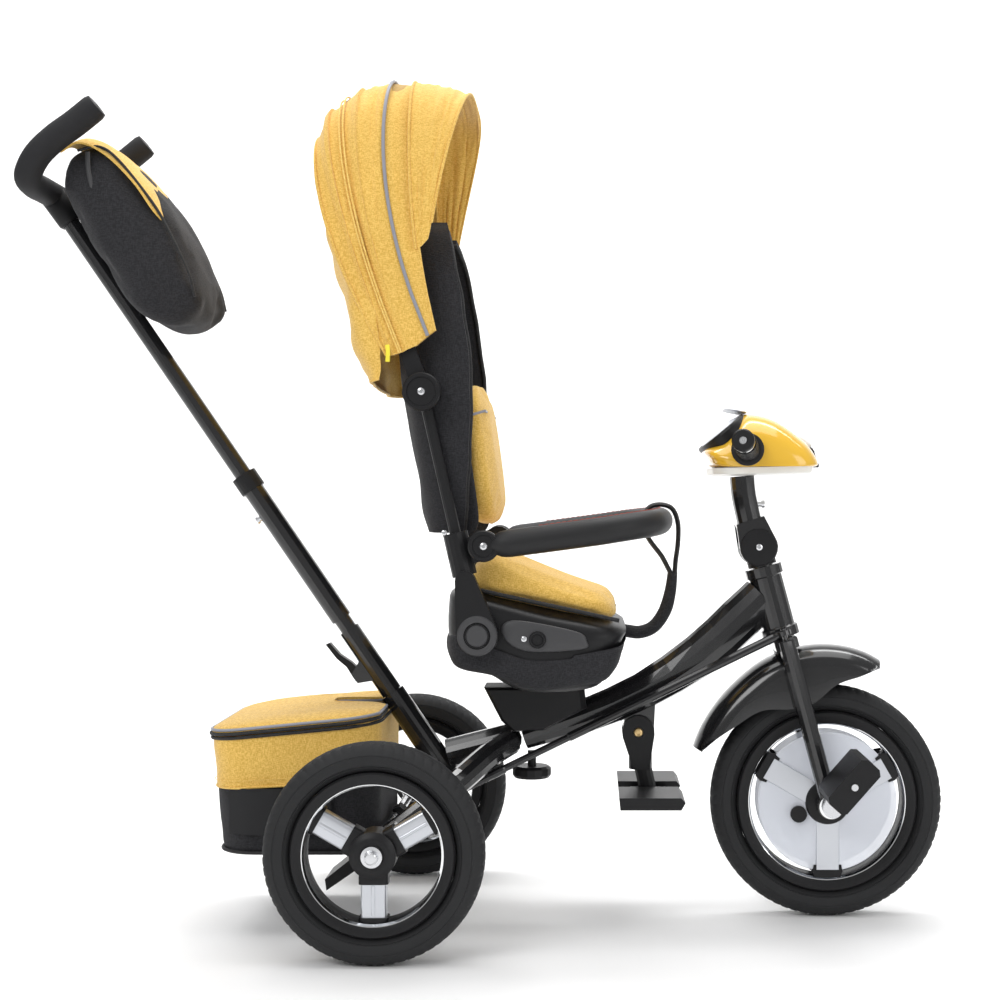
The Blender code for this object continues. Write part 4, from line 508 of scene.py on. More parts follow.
def wheel(centre, radius, body, rim_node, front=False):
    """The rim, its bright edges, its silver spokes in their sockets, and the hub."""
    outer = radius - 0.0333
    inner = outer - (0.0155 if not front else 0.0165)
    profile = [
        (outer, 0.01), (outer + 0.0002, 0.018), (outer - 0.002, 0.0205), (inner + 0.005, 0.02),
        (inner + 0.0012, 0.0178), (inner, 0.015)
    ]
    rim = turned(
        f"{body}_rim", profile + [(r, -y) for r, y in profile[::-1]], centre, ACROSS, "satin_black",
        body, 96, True
    )
    stands_in(rim_node)
    for sign in (-1.0, 1.0):
        edge = [
            (inner - 0.0006, 0.015), (inner + 0.0012, 0.0184), (inner + 0.0022, 0.0187),
            (inner + 0.0008, 0.015)
        ]
        turned(
            f"{body}_rim_edge_{'right' if sign < 0 else 'left'}", [(r, y * sign) for r, y in edge],
            centre, ACROSS, "chrome", body, 96, True
        )
    if not front:
        hub = [(0.0, 0.0235), (0.013, 0.0235), (0.014, 0.022), (0.0195, 0.022), (0.0215, 0.0215)]
        hub += [(0.027, 0.0175), (0.0275, 0.0)]
        turned(
            f"{body}_hub", hub + [(r, -y) for r, y in hub[-2::-1]], centre, ACROSS, "satin_black", body, 48
        )
    for index in range(3):
        angle = math.radians(-90.0 + 120.0 * index)
        out = Vector((math.cos(angle), 0.0, math.sin(angle)))
        along = ACROSS.cross(out)
        for part, start, end, width, thick, finish in (
            ("spoke", 0.018, inner + 0.004, 0.0148, 0.0105, "silver_paint"),
            ("socket_inner", 0.016, 0.0345, 0.0172, 0.0125, "satin_black"),
            ("socket_outer", inner - 0.0065, inner + 0.006, 0.0172, 0.0125, "satin_black"),
        ):
            rings = []
            for reach in (start, end):
                ring = []
                for k in range(24):
                    c, s = around(k, 24)
                    w = bent(c, 0.35) * width
                    h = bent(s, 0.35) * thick
                    ring.append(centre + out * reach + along * w + ACROSS * h)
                rings.append(ring)
            loft(f"{body}_{part}_{index + 1}", rings, finish, body)
        if not front:
            for sign in (-1.0, 1.0):
                ridge = [centre + out * r + ACROSS * (sign * 0.0107) for r in (0.036, inner - 0.009)]
                name = f"{body}_spoke_ridge_{index + 1}_{'right' if sign < 0 else 'left'}"
                tube(name, ridge, 0.0022, "silver_paint", body, 8, flat=0.5, across=along)


for side, sign in SIDES:
    centre = REAR_AXLE + ACROSS * (sign * REAR_TRACK / 2)
    grooved_tyre(
        f"rear_tyre_{side}_tread", centre, REAR_WHEEL_RADIUS, f"rear_wheel_{side}", f"rear_tyre_{side}"
    )
    wheel(centre, REAR_WHEEL_RADIUS, f"rear_wheel_{side}", f"rear_rim_{side}")
    nut = [
        (0.0, 0.0115), (0.0055, 0.0112), (0.0072, 0.0098), (0.0075, 0.003), (0.0122, 0.0026), (0.0122, 0.0)
    ]
    turned(
        f"axle_nut_{side}", nut + [(0.0, 0.0)], centre + ACROSS * (sign * 0.0242), ACROSS * sign,
        "zinc", "frame", 36, smooth=30.0
    )
grooved_tyre("front_tyre_tread", FRONT_AXLE, FRONT_WHEEL_RADIUS, "front_wheel", "front_tyre")
wheel(FRONT_AXLE, FRONT_WHEEL_RADIUS, "front_wheel", "front_rim", front=True)
for side, sign in SIDES:
    cover = [
        (0.015, 0.0205), (0.087, 0.02), (0.0885, 0.019), (0.0885, 0.0205), (0.087, 0.0218), (0.03, 0.0232)
    ]
    cover += [(0.015, 0.0232)]
    made = turned(
        f"front_wheel_cover_{side}", [(r, y * sign) for r, y in cover], FRONT_AXLE, ACROSS, "cover",
        "front_wheel", 96, True, smooth=25.0
    )
    if sign < 0:
        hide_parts("wheel_covers")
    for index in range(3):
        angle = math.radians(-90.0 + 120.0 * index)
        out = Vector((math.cos(angle), 0.0, math.sin(angle)))
        along = ACROSS.cross(out)
        rings = []
        for reach, width in ((0.024, 0.015), (0.06, 0.015), (0.086, 0.015)):
            low, high = 0.0214 * sign, 0.024 * sign
            ring = [(-width, low), (width, low), (width * 0.93, high), (-width * 0.93, high)]
            rings.append([FRONT_AXLE + out * reach + along * w + ACROSS * y for w, y in ring])
        loft(f"front_spoke_plate_{side}_{index + 1}", rings, "silver_paint", "front_wheel")
        rings = []
        for reach, width in ((0.08, 0.0185), (0.0885, 0.02), (0.096, 0.017)):
            low, high = 0.019 * sign, 0.0228 * sign
            ring = [(-width, low), (width, low), (width * 0.94, high), (-width * 0.94, high)]
            rings.append([FRONT_AXLE + out * reach + along * w + ACROSS * y for w, y in ring])
        loft(f"front_spoke_lobe_{side}_{index + 1}", rings, "satin_black", "front_wheel")
    hub = [(0.0, 0.0235), (0.0, 0.029), (0.015, 0.029), (0.0165, 0.0272), (0.027, 0.0262), (0.0285, 0.0235)]
    turned(
        f"front_hub_{side}", [(r, y * sign) for r, y in hub], FRONT_AXLE, ACROSS, "satin_black",
        "front_wheel", 48
    )
    nut = [(0.0, 0.0), (0.015, 0.0), (0.015, 0.002), (0.0095, 0.0022), (0.0088, 0.006), (0.0, 0.0062)]
    turned(
        f"fork_nut_{side}", nut, FRONT_AXLE + ACROSS * (sign * 0.0552), ACROSS * sign, "chrome",
        "fork", 36, smooth=30.0
    )

# Canopy: each station is (low, middle, top), each a (forward, height) point of one hoop of cloth
CANOPY_HALF = 0.17
CANOPY_STATIONS = (
    ((0.005, 0.704), (-0.064, 0.85), (-0.086, 0.982)), ((0.012, 0.7035), (-0.05, 0.87), (-0.076, 1.01)),
    ((0.026, 0.708), (-0.03, 0.88), (-0.048, 1.035)), ((0.043, 0.716), (-0.008, 0.885), (-0.013, 1.05)),
    ((0.056, 0.727), (0.008, 0.89), (0.006, 1.053)), ((0.064, 0.733), (0.039, 0.88), (0.033, 1.051))
)
VISOR_STATIONS = (
    ((0.042, 0.83), (0.034, 0.93), (0.033, 1.0525)), ((0.048, 0.833), (0.05, 0.933), (0.06, 1.05)),
    ((0.056, 0.842), (0.064, 0.936), (0.083, 1.045)), ((0.06, 0.86), (0.076, 0.942), (0.101, 1.037))
)


def between(stations, share):
    """The (low, middle, top) of a hoop part of the way along the stations."""
    at = share * (len(stations) - 1)
    first = min(int(at), len(stations) - 2)
    part = at - first
    part = part * part * (3 - 2 * part) * 0.35 + part * 0.65
    pairs = zip(stations[first], stations[first + 1])
    return [tuple(a + (b - a) * part for a, b in zip(low, high)) for low, high in pairs]


def hoop(station, half, count, push=0.0, bulge=None):
    """Points of one hoop from the right to the left. Push moves it out; bulge(rise, side) adds to that."""
    low, middle, top = station
    points = []
    for k in range(count):
        c, s = over(k, count - 1)
        rise = abs(s) ** 0.55
        across = half * bent(c, 0.5) if abs(c) > 1e-6 else 0.0
        b = 2 * rise * (1 - rise)
        control = [2 * middle[i] - 0.5 * (low[i] + top[i]) for i in range(2)]
        x = low[0] * (1 - rise) ** 2 + control[0] * b + top[0] * rise**2
        z = low[1] * (1 - rise) ** 2 + control[1] * b + top[1] * rise**2
        out = Vector((0.0, c, s * 0.9 + 0.1)).normalized()
        extra = push + (bulge(rise, c) if bulge else 0.0)
        points.append(place(x, z, across) + out * extra)
    return points


def canopy_cloth(name, stations, rows, columns, ribs, sag, pleat):
    """Cloth over hoops: it sags between its ribs, and a pleat lifts its edge over each one."""
    grid = []
    for r in range(rows + 1):
        share = r / rows
        wave = (share * ribs) % 1.0

        def bulge(rise, side):
            slack = 1.0 if share < 0.55 or not pleat else 0.3
            drop = -sag * slack * math.sin(math.pi * wave) ** 2 * (0.35 + 0.65 * rise)
            fold = 0.0
            if pleat and share < 0.62:
                fold = pleat * (wave**3) * (0.25 + 0.75 * rise)
            crease = noise.noise(Vector((share * 9.0, rise * 2.6, side * 2.0))) * 0.0026
            crease += noise.noise(
                Vector((share * 31.0 + rise * 3.0, rise * 5.0, side * 3.0 + 7.0))
            ) * 0.0011
            return drop + fold + crease * min(1.0, rise * 3.0)

        grid.append(hoop(between(stations, share), CANOPY_HALF, columns, 0.0, bulge))
    return soft_sheet(name, grid, 0.0016, "yellow_cloth", "canopy")


shell = canopy_cloth("canopy_cloth", CANOPY_STATIONS, 90, 97, 4, 0.0034, 0.006)
stands_in("canopy_shell")
visor = canopy_cloth("canopy_visor", VISOR_STATIONS, 30, 97, 1, 0.0015, 0.0)
# A sheet inside the canopy in the darker yellow: painted shade for the canopy's underside.
lining_grid = [hoop(between(CANOPY_STATIONS, r / 40), CANOPY_HALF - 0.0075, 73) for r in range(41)]
lining = soft_sheet("canopy_lining_painted_shade", lining_grid, 0.001, "yellow_lining_painted_shade", "canopy")


def seam(name, station, push, radius, finish):
    path = hoop(station, CANOPY_HALF, 97, push)
    tube(f"canopy_{name}", path, radius, finish, "canopy", 8, across=AHEAD)


seam("piping", between(CANOPY_STATIONS, 0.8), 0.0016, 0.0022, "grey_piping")
for label, station, push in (
    ("front_hem", ((0.0605, 0.861), (0.0768, 0.942), (0.1018, 1.0368)), 0.0003),
    ("visor_seam", ((0.0415, 0.83), (0.0335, 0.93), (0.0325, 1.0527)), 0.0006),
    ("main_front_hem", ((0.0645, 0.733), (0.0395, 0.88), (0.0335, 1.0508)), -0.0004),
    ("rear_seam", ((0.007, 0.7035), (-0.062, 0.851), (-0.085, 0.983)), 0.001),
):
    seam(label, station, push, 0.0016, "yellow_cloth")
for index in range(2):
    tape = between(CANOPY_STATIONS, 0.34 + 0.035 * index)
    seam(f"zip_tape_{index + 1}", tape, 0.0022, 0.0011, "pale_yellow_cloth")
for side, sign in SIDES:
    puller = [
        place(0.0085, 0.716, sign * 0.1745), place(0.0095, 0.708, sign * 0.1755),
        place(0.009, 0.696, sign * 0.175)
    ]
    tube(
        f"canopy_zip_puller_{side}", curve_through(puller, 4), 0.0026, "yellow_zip", "canopy", 8,
        across=AHEAD, flat=0.5
    )

# The rear curtain hangs from the rear hoop, behind the backrest
CURTAIN = (
    ((-0.003, 0.676), (-0.02, 0.672)), ((0.0, 0.71), (-0.033, 0.708)), ((-0.005, 0.76), (-0.05, 0.76)),
    ((-0.016, 0.82), (-0.064, 0.82)), ((-0.03, 0.88), (-0.074, 0.88)),
    ((-0.044, 0.925), (-0.072, 0.925)), ((-0.056, 0.952), (-0.072, 0.956))
)
grid = []
for r in range(49):
    share = r / 48 * (len(CURTAIN) - 1)
    first = min(int(share), len(CURTAIN) - 2)
    part = share - first
    side_point, back_point = (
        [a + (b - a) * part for a, b in zip(low, high)] for low,
        high in zip(CURTAIN[first], CURTAIN[first + 1])
    )
    narrow = 0.168 - 0.02 * max(0.0, r / 48 - 0.55) / 0.45
    line = []
    for k in range(73):
        c, s = over(k, 72)
        deep = abs(s) ** 0.5
        x = side_point[0] + (back_point[0] - side_point[0]) * deep
        z = side_point[1] + (back_point[1] - side_point[1]) * deep
        fold = 0.0042 * math.sin(r / 48 * 16.0 + 2.2 * c) * (1 - 0.6 * r / 48)
        fold += noise.noise(Vector((c * 3.0, r * 0.16, 4.0))) * 0.006
        across = narrow * bent(c, 0.55) if abs(c) > 1e-6 else 0.0
        line.append(
            place(
                x - fold * (0.3 + 0.7 * deep), z,
                across + (0.5 * fold if c > 0 else -0.5 * fold) * abs(c)
            )
        )
    grid.append(line)
curtain = soft_sheet("canopy_curtain", grid, -0.0016, "yellow_cloth", None)
place(-0.02, 0.7)
place(-0.05, 0.93)
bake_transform(curtain)
stands_in("canopy_rear_curtain")
hem = tube(
    "canopy_curtain_hem", [p + Vector((0, 0, 0.001)) for p in grid[0]], 0.002, "yellow_cloth", None, 8,
    across=UP
)
place(-0.02, 0.7)
place(-0.05, 0.93)
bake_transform(hem)


def puffed(obj, voxel, pressure, most, frames=20):
    """Blows a pad up a little as cloth, holding every point within reach of where it began."""
    remesh = obj.modifiers.new("remesh", "REMESH")
    remesh.mode = "VOXEL"
    remesh.voxel_size = voxel
    finish = obj.data.materials[0]
    start = baked(obj)
    obj.data = start
    began = [v.co.copy() for v in start.vertices]
    blow = obj.modifiers.new("cloth", "CLOTH")
    blow.settings.quality = 5
    blow.settings.mass = 0.3
    blow.settings.use_pressure = True
    blow.settings.uniform_pressure_force = pressure
    blow.settings.effector_weights.gravity = 0.0
    blow.collision_settings.use_collision = False
    scene = bpy.context.scene
    for frame_number in range(1, frames + 1):
        scene.frame_set(frame_number)
    ended = baked(obj)
    scene.frame_set(1)
    for vertex, first in zip(ended.vertices, began):
        moved = vertex.co - first
        if moved.length > most:
            vertex.co = first + moved.normalized() * most
    obj.data = ended
    ended.materials.clear()
    ended.materials.append(finish)
    finer = obj.modifiers.new("finer", "SUBSURF")
    finer.levels = finer.render_levels = 1
    obj.data = baked(obj)
    obj.data.shade_smooth()


def stitches(name, path, finish, body, length=0.0042, pitch=0.007, width=0.0006):
    """A row of stitches along a path: one short thread, repeated by Geometry Nodes."""
    curve = bpy.data.curves.new(name + "_line", "CURVE")
    curve.dimensions = "3D"
    spline = curve.splines.new("POLY")
    spline.points.add(len(path) - 1)
    for point, spot in zip(spline.points, path):
        point.co = (*spot, 1.0)
    obj = bpy.data.objects.new(name + "_line", curve)
    bpy.context.scene.collection.objects.link(obj)
    tree = bpy.data.node_groups.new(name, "GeometryNodeTree")
    tree.is_modifier = True
    tree.interface.new_socket("Geometry", in_out="INPUT", socket_type="NodeSocketGeometry")
    sizes = {}
    for label, value in (("Pitch", pitch), ("Stitch length", length), ("Thread radius", width)):
        socket = tree.interface.new_socket(label, in_out="INPUT", socket_type="NodeSocketFloat")
        sizes[socket.identifier] = value
    tree.interface.new_socket("Geometry", in_out="OUTPUT", socket_type="NodeSocketGeometry")
    nodes, links = tree.nodes, tree.links
    given = nodes.new("NodeGroupInput")
    spread = nodes.new("GeometryNodeResampleCurve")
    spread.mode = "LENGTH"
    spots = nodes.new("GeometryNodeCurveToPoints")
    spots.mode = "EVALUATED"
    thread = nodes.new("GeometryNodeMeshCylinder")
    thread.inputs["Vertices"].default_value = 6
    copies = nodes.new("GeometryNodeInstanceOnPoints")
    turn = nodes.new("FunctionNodeAlignRotationToVector")
    turn.axis = "Z"
    whole = nodes.new("GeometryNodeRealizeInstances")
    paint = nodes.new("GeometryNodeSetMaterial")
    paint.inputs["Material"].default_value = FINISHES[finish]
    ends = nodes.new("NodeGroupOutput")
    for source, output, target, socket in (
        (given, 0, spread, "Curve"),
        (given, "Pitch", spread, "Length"),
        (given, "Stitch length", thread, "Depth"),
        (given, "Thread radius", thread, "Radius"),
        (spread, "Curve", spots, "Curve"),
        (spots, "Points", copies, "Points"),
        (spots, "Tangent", turn, "Vector"),
        (turn, "Rotation", copies, "Rotation"),
        (thread, "Mesh", copies, "Instance"),
        (copies, "Instances", whole, "Geometry"),
        (whole, "Geometry", paint, "Geometry"),
        (paint, "Geometry", ends, 0),
    ):
        links.new(source.outputs[output], target.inputs[socket])
    modifier = obj.modifiers.new("stitches", "NODES")
    modifier.node_group = tree
    for identifier, value in sizes.items():
        modifier[identifier] = value
    made = bpy.data.objects.new(name, baked(obj))
    bpy.context.scene.collection.objects.link(made)
    bpy.data.objects.remove(obj)
    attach(made, body)


# Seat
SEAT_SIDE = (
    (0.09, 0.424), (0.073, 0.402), (0.08, 0.338), (0.124, 0.319), (0.165, 0.2985), (0.235, 0.2985),
    (0.268, 0.313), (0.286, 0.356), (0.285, 0.38), (0.19, 0.401)
)
seat_body = pillow("seat_body", SEAT_SIDE, 0.147, "satin_black", "seat", 6.0, 24)
stands_in("seat_shell")
SKIRT_SIDE = (
    (0.077, 0.372), (0.079, 0.334), (0.1256, 0.319), (0.1826, 0.301), (0.268, 0.314), (0.29, 0.356),
    (0.276, 0.348), (0.18, 0.342), (0.13, 0.356)
)
pillow("seat_skirt", SKIRT_SIDE, 0.15, "black_cloth", "seat", 7.0, 28, wrinkle=0.0035, closed_steps=9)
SEAT_PAD = (
    (0.096, 0.43), (0.106, 0.459), (0.126, 0.466), (0.15, 0.456), (0.22, 0.428), (0.274, 0.41),
    (0.284, 0.4), (0.282, 0.387), (0.24, 0.394), (0.17, 0.409), (0.115, 0.42)
)
seat_pad = pillow("seat_pad", SEAT_PAD, 0.129, "yellow_cloth", None, 5.0, 22)
puffed(seat_pad, 0.005, 4.0, 0.005)
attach(seat_pad, "seat")
stands_in("seat_cushion")
rim_points = points_of(((0.1, 0.421), (0.15, 0.41), (0.22, 0.395), (0.283, 0.381)))
for side, sign in SIDES:
    edge = [p + ACROSS * (sign * 0.129) + UP * 0.006 for p in curve_through(rim_points, 6)]
    tube(f"seat_pad_piping_{side}", edge, 0.0026, "black_webbing", "seat", 10)
    plate = [(0.142, 0.372), (0.156, 0.389), (0.23, 0.376), (0.244, 0.364), (0.238, 0.354), (0.17, 0.352)]
    pillow(f"seat_side_plate_{side}", plate, 0.004, "dark_grey", "seat", 4.0, 8, sign * 0.148)
    screw(
        f"seat_side_screw_{side}", place(0.169, 0.367, sign * 0.1515), ACROSS * sign, 0.0042, "zinc", "seat"
    )
    plug = [(0.0, 0.0025), (0.006, 0.0025), (0.007, 0.004), (0.0095, 0.004), (0.0105, 0.0), (0.0, 0.0)]
    turned(
        f"seat_side_plug_{side}", plug, place(0.185, 0.3658, sign * 0.1515), ACROSS * sign,
        "satin_black", "seat", 32
    )

# Recline arms, canopy discs and bumper discs: screws and caps
for side, sign in SIDES:
    out = ACROSS * sign
    cap = [(0.0, 0.0016), (0.0118, 0.0016), (0.0128, 0.0), (0.0, 0.0)]
    turned(
        f"recline_cap_{side}", cap, place(*RECLINE_PIVOT, sign * 0.1686), out, "dark_grey",
        f"recline_button_{side}", 36
    )
    ring = [(0.016, 0.0), (0.016, 0.0014), (0.018, 0.0018), (0.0225, 0.0018), (0.024, 0.0)]
    turned(
        f"recline_ring_{side}", ring, place(*RECLINE_PIVOT, sign * 0.1664), out, "dark_grey",
        "backrest", 48, True
    )
    for label, spot, body, radius in (
        ("canopy_disc", CANOPY_PIVOT, "canopy", 0.0225),
        ("bumper_disc", BUMPER_PIVOT, "bumper", 0.0185),
    ):
        centre = place(*spot, sign * 0.1739)
        rim = [
            (radius - 0.0055, 0.0), (radius - 0.005, 0.0016), (radius - 0.0012, 0.0016),
            (radius + 0.0003, 0.0)
        ]
        turned(f"{label}_rim_{side}", rim, centre, out, "satin_black", body, 48, True)
        screw(f"{label}_screw_{side}", centre, out, 0.0052, "zinc", body)
    screw(f"sleeve_screw_{side}", place(0.075, 0.494, sign * 0.1632), out, 0.0036, "zinc", "backrest")

# Backrest: (height, rear, front of the wings, half width)
BACK = (
    (0.496, 0.056, 0.096, 0.116), (0.52, 0.05, 0.0985, 0.122), (0.56, 0.043, 0.1, 0.128),
    (0.65, 0.026, 0.105, 0.134), (0.74, 0.018, 0.097, 0.134), (0.8, 0.019, 0.088, 0.126),
    (0.845, 0.026, 0.078, 0.102), (0.868, 0.036, 0.07, 0.066)
)
columns = [curve_through([Vector((s[k], s[0], 0.0)) for s in BACK], 6) for k in (1, 2, 3)]
grid = []
for r, (rear, front, half) in enumerate(zip(*columns)):
    line = []
    for k in range(49):
        c, s = over(k, 48)
        depth = (front.x - rear.x) * abs(s) ** 0.42
        crease = noise.noise(Vector((c * 2.4, rear.y * 26.0, 1.5))) * 0.003
        across = half.x * bent(c, 0.75) if abs(c) > 1e-6 else 0.0
        line.append(place(front.x - depth - crease, rear.y, across * (1 + crease * 6.0)))
    grid.append(line)
back_shell = soft_sheet("back_shell", grid, -0.011, "black_cloth", "backrest")
stands_in("backrest_shell")
edge = [row[0] for row in grid] + grid[-1][1:-1] + [row[-1] for row in grid[::-1]]
tube("back_shell_binding", edge, 0.003, "black_webbing", "backrest", 10)
BACK_PAD = (
    (0.087, 0.656), (0.089, 0.672), (0.101, 0.679), (0.111, 0.672), (0.118, 0.64), (0.128, 0.57),
    (0.133, 0.518), (0.128, 0.503), (0.112, 0.501), (0.102, 0.512), (0.093, 0.585)
)
back_pad = pillow("back_pad", BACK_PAD, 0.105, "yellow_cloth", None, 4.5, 22)
puffed(back_pad, 0.005, 4.0, 0.005)
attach(back_pad, "backrest")
stands_in("back_cushion")
stripe = curve_through(
    [place(0.088, 0.633, -0.103), place(0.104, 0.637, -0.1065), place(0.119, 0.642, -0.099)], 6
)
stripe += [Vector((p.x + 0.0012, -p.y, p.z)) for p in stripe[::-1]]
tube("back_pad_piping", stripe, 0.0016, "grey_piping", "backrest", 8)
for side, sign in SIDES:
    panel = ((0.053, 0.645), (0.09, 0.655), (0.096, 0.62), (0.105, 0.565), (0.112, 0.503), (0.09, 0.501))
    pillow(
        f"back_side_panel_{side}", panel, 0.0055, "black_cloth", "backrest", 3.0, 8, sign * 0.112,
        wrinkle=0.002
    )

# Bumper bar, strap and loop
half = [
    place(0.131, 0.479, -0.165), place(0.16, 0.4825, -0.165), place(0.21, 0.489, -0.1648),
    place(0.258, 0.4955, -0.163), place(0.295, 0.501, -0.15), place(0.32, 0.5042, -0.122),
    place(0.332, 0.5057, -0.08), place(0.336, 0.5064, -0.035), place(0.3365, 0.5065, 0.0)
]
bumper_line = curve_through(both_sides(half), 5)
sizes = [0.0165] * len(bumper_line)
for k, size in enumerate((0.009, 0.0125, 0.015, 0.016)):
    sizes[k] = sizes[-1 - k] = size
bumper = tube("bumper_cover", bumper_line, sizes, "leather", "bumper", 28, across=UP)
stands_in("bumper_bar")
seam_line = [p + UP * 0.0164 for p in bumper_line[8:-8]]
tube("bumper_seam", seam_line, 0.0007, "red_thread", "bumper", 6)
stitches("bumper_stitches", [p + UP * 0.0005 for p in seam_line], "red_thread", "bumper")
for side, sign in SIDES:
    disc = [(0.0, 0.0), (0.0175, 0.0), (0.0185, 0.0012), (0.0185, 0.0158), (0.0175, 0.017), (0.0, 0.017)]
    turned(
        f"bumper_disc_{side}", disc, place(*BUMPER_PIVOT, sign * 0.157), ACROSS * sign, "satin_black",
        "bumper", 48
    )
STRAP = (
    (0.28, 0.366), (0.295, 0.364), (0.3121, 0.3625), (0.33, 0.37), (0.344, 0.39), (0.351, 0.415),
    (0.354, 0.44)
)
strap_line = curve_through(points_of(STRAP), 8)
radii = [0.0135 - 0.0035 * max(0.0, k / len(strap_line) - 0.7) / 0.3 for k in range(len(strap_line))]
strap = tube("crotch_strap_sleeve", strap_line, radii, "black_cloth", None, 20, flat=0.62)
place(0.3, 0.36)
place(0.352, 0.42)
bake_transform(strap)
stands_in("crotch_strap")
LOOP = (
    (0.3545, 0.435), (0.34, 0.46), (0.323, 0.483), (0.3165, 0.504), (0.3225, 0.5215), (0.337, 0.5265),
    (0.353, 0.5215), (0.3605, 0.504), (0.361, 0.48), (0.358, 0.456)
)
loop_line = curve_through(points_of(LOOP), 6, True)
loop = tube("bumper_webbing", loop_line, 0.0105, "black_webbing", None, 16, closed=True, flat=0.3)
place(0.35, 0.44)
place(0.35, 0.47)
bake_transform(loop)
stands_in("bumper_loop")

# Footrest's screw
for side, sign in SIDES:
    screw(
        f"footrest_screw_{side}", place(*FOOTREST_PIVOT, sign * 0.0152), ACROSS * sign, 0.0062, "brass",
        "footrest"
    )

# Front mudguard: (angle round the axle, outer radius, radius of the skirt's edge)
GUARD = (
    (69.0, 0.1925, 0.184), (76.0, 0.1965, 0.166), (86.0, 0.199, 0.151), (98.0, 0.1995, 0.129),
    (112.0, 0.197, 0.129), (126.0, 0.191, 0.145), (140.0, 0.187, 0.153), (151.0, 0.185, 0.165),
    (158.0, 0.1835, 0.174)
)
rings = []
for station in curve_through([Vector(row) for row in GUARD], 7):
    radial = Vector((math.cos(math.radians(station.x)), 0.0, math.sin(math.radians(station.x))))
    ring = []
    for wall, turn in ((0.0, 1), (0.0022, -1)):
        half, crown = 0.036 - wall, station.y - wall
        points = [(-half, station.z)]
        for k in range(25):
            bend = math.pi * k / 24
            points.append((-half * math.cos(bend), crown - 0.026 + 0.026 * math.sin(bend)))
        points.append((half, station.z))
        for across, radius in points[::turn]:
            ring.append(FRONT_AXLE + radial * max(radius, station.z) + ACROSS * across)
    rings.append(ring)
guard = loft("mudguard", rings, "gloss_black", "fork", smooth=45.0)
stands_in("front_mudguard")

# Console on the handlebar
CONSOLE = (
    (0.4081, 0.574), (0.46, 0.5742), (0.52, 0.5745), (0.5345, 0.576), (0.533, 0.5864), (0.5215, 0.604),
    (0.5081, 0.616), (0.4968, 0.625), (0.4807, 0.6347), (0.4613, 0.6411), (0.442, 0.6405),
    (0.4242, 0.6234), (0.4114, 0.6089), (0.392, 0.596), (0.396, 0.585)
)
CONSOLE_FLOOR = 0.574
console_ring = curve_through([Vector((x, 0.0, z)) for x, z in CONSOLE], 5, True)
rings = []
for r in range(41):
    t = math.sin(math.pi * (r / 40 - 0.5)) * 0.9995
    rise = (1 - abs(t) ** 3.0) ** (1 / 3.0)
    length = (1 - abs(t) ** 4.5) ** (1 / 4.5)
    ring = []
    for point in console_ring:
        height = CONSOLE_FLOOR + (point.z - CONSOLE_FLOOR) * rise
        ring.append(place(0.464 + (point.x - 0.464) * length, height, 0.088 * t))
    rings.append(ring)
console = loft("console_cover", rings, "yellow_gloss", "handlebar", smooth=50.0)
stands_in("console_shell")
tray_rings = []
for inset, height in ((0.012, 0.564), (0.004, 0.5655), (0.002, 0.5735)):
    outline = rounded_rectangle(0.398 + inset, 0.53 - inset, 0.083 - inset, 0.03)
    tray_rings.append([place(x, height + (x - 0.46) * 0.02, y) for x, y in outline])
tray = loft("console_tray", tray_rings, "white_plastic", "handlebar")
stands_in("console_base")
face_along = Vector((0.769, 0.0, 0.639))  # the face leans back towards the rider
face_out = Vector((-0.639, 0.0, 0.769))
face_middle = place(0.416, 0.6185)


def face_ring(share, lift, count=64):
    """An oval ring of points on the face of the console that the rider sees."""
    ring = []
    for k in range(count):
        c, d = around(k, count)
        along = 0.035 * share * bent(c, 0.8)
        across = 0.07 * share * bent(d, 0.8)
        ring.append(face_middle + face_along * along + ACROSS * across + face_out * lift)
    return ring


bezel = [(1.0, -0.012), (1.02, -0.001), (0.99, 0.0022), (0.9, 0.0026), (0.86, 0.0008), (0.84, -0.012)]
loft("console_bezel", [face_ring(a, b) for a, b in bezel], "satin_black", "handlebar", closed=True)
lens = [(0.86, -0.006), (0.86, 0.001), (0.78, 0.0034), (0.55, 0.0056), (0.25, 0.0066), (0.02, 0.0068)]
loft("console_lens", [face_ring(a, b) for a, b in lens], "silver_paint", "handlebar", smooth=60.0)
lip = [(0.418, 0.648), (0.422, 0.6486), (0.433, 0.6474), (0.447, 0.6442), (0.444, 0.6424), (0.43, 0.6448)]
pillow("console_lip", lip, 0.038, "silver_paint", "handlebar", 5.0, 16)
lamp = ((0.501, 0.606), (0.506, 0.6165), (0.516, 0.615), (0.529, 0.605), (0.53, 0.599), (0.515, 0.596))
head_lamp = pillow("head_lamp_lens", lamp, 0.03, "white_plastic", "handlebar", 4.0, 16)
stands_in("head_lamp")
grille = ((0.52, 0.587), (0.524, 0.5985), (0.531, 0.599), (0.535, 0.59), (0.5352, 0.585), (0.528, 0.583))
pillow("head_lamp_grille", grille, 0.028, "satin_black", "handlebar", 5.0, 16)
for index in range(3):
    low = place(0.5345 - 0.001 * index, 0.587 + 0.0035 * index, -0.024)
    high = Vector((low.x, 0.024, low.z))
    tube(f"head_lamp_bar_{index + 1}", [low, high], 0.001, "dark_grey", "handlebar", 10, across=UP)
turned(
    "console_plug", [(0.0, 0.0), (0.003, 0.0), (0.003, 0.009), (0.0022, 0.01), (0.0, 0.01)],
    place(0.532, 0.577), AHEAD, "satin_black", "handlebar", 24
)

# Grips


def bar_point(across):
    bend = max(0.0, abs(across) - 0.06) / 0.13
    return place(BAR_MIDDLE[0] - 0.018 * bend**1.3, BAR_MIDDLE[1] + 0.0115 * bend, across)


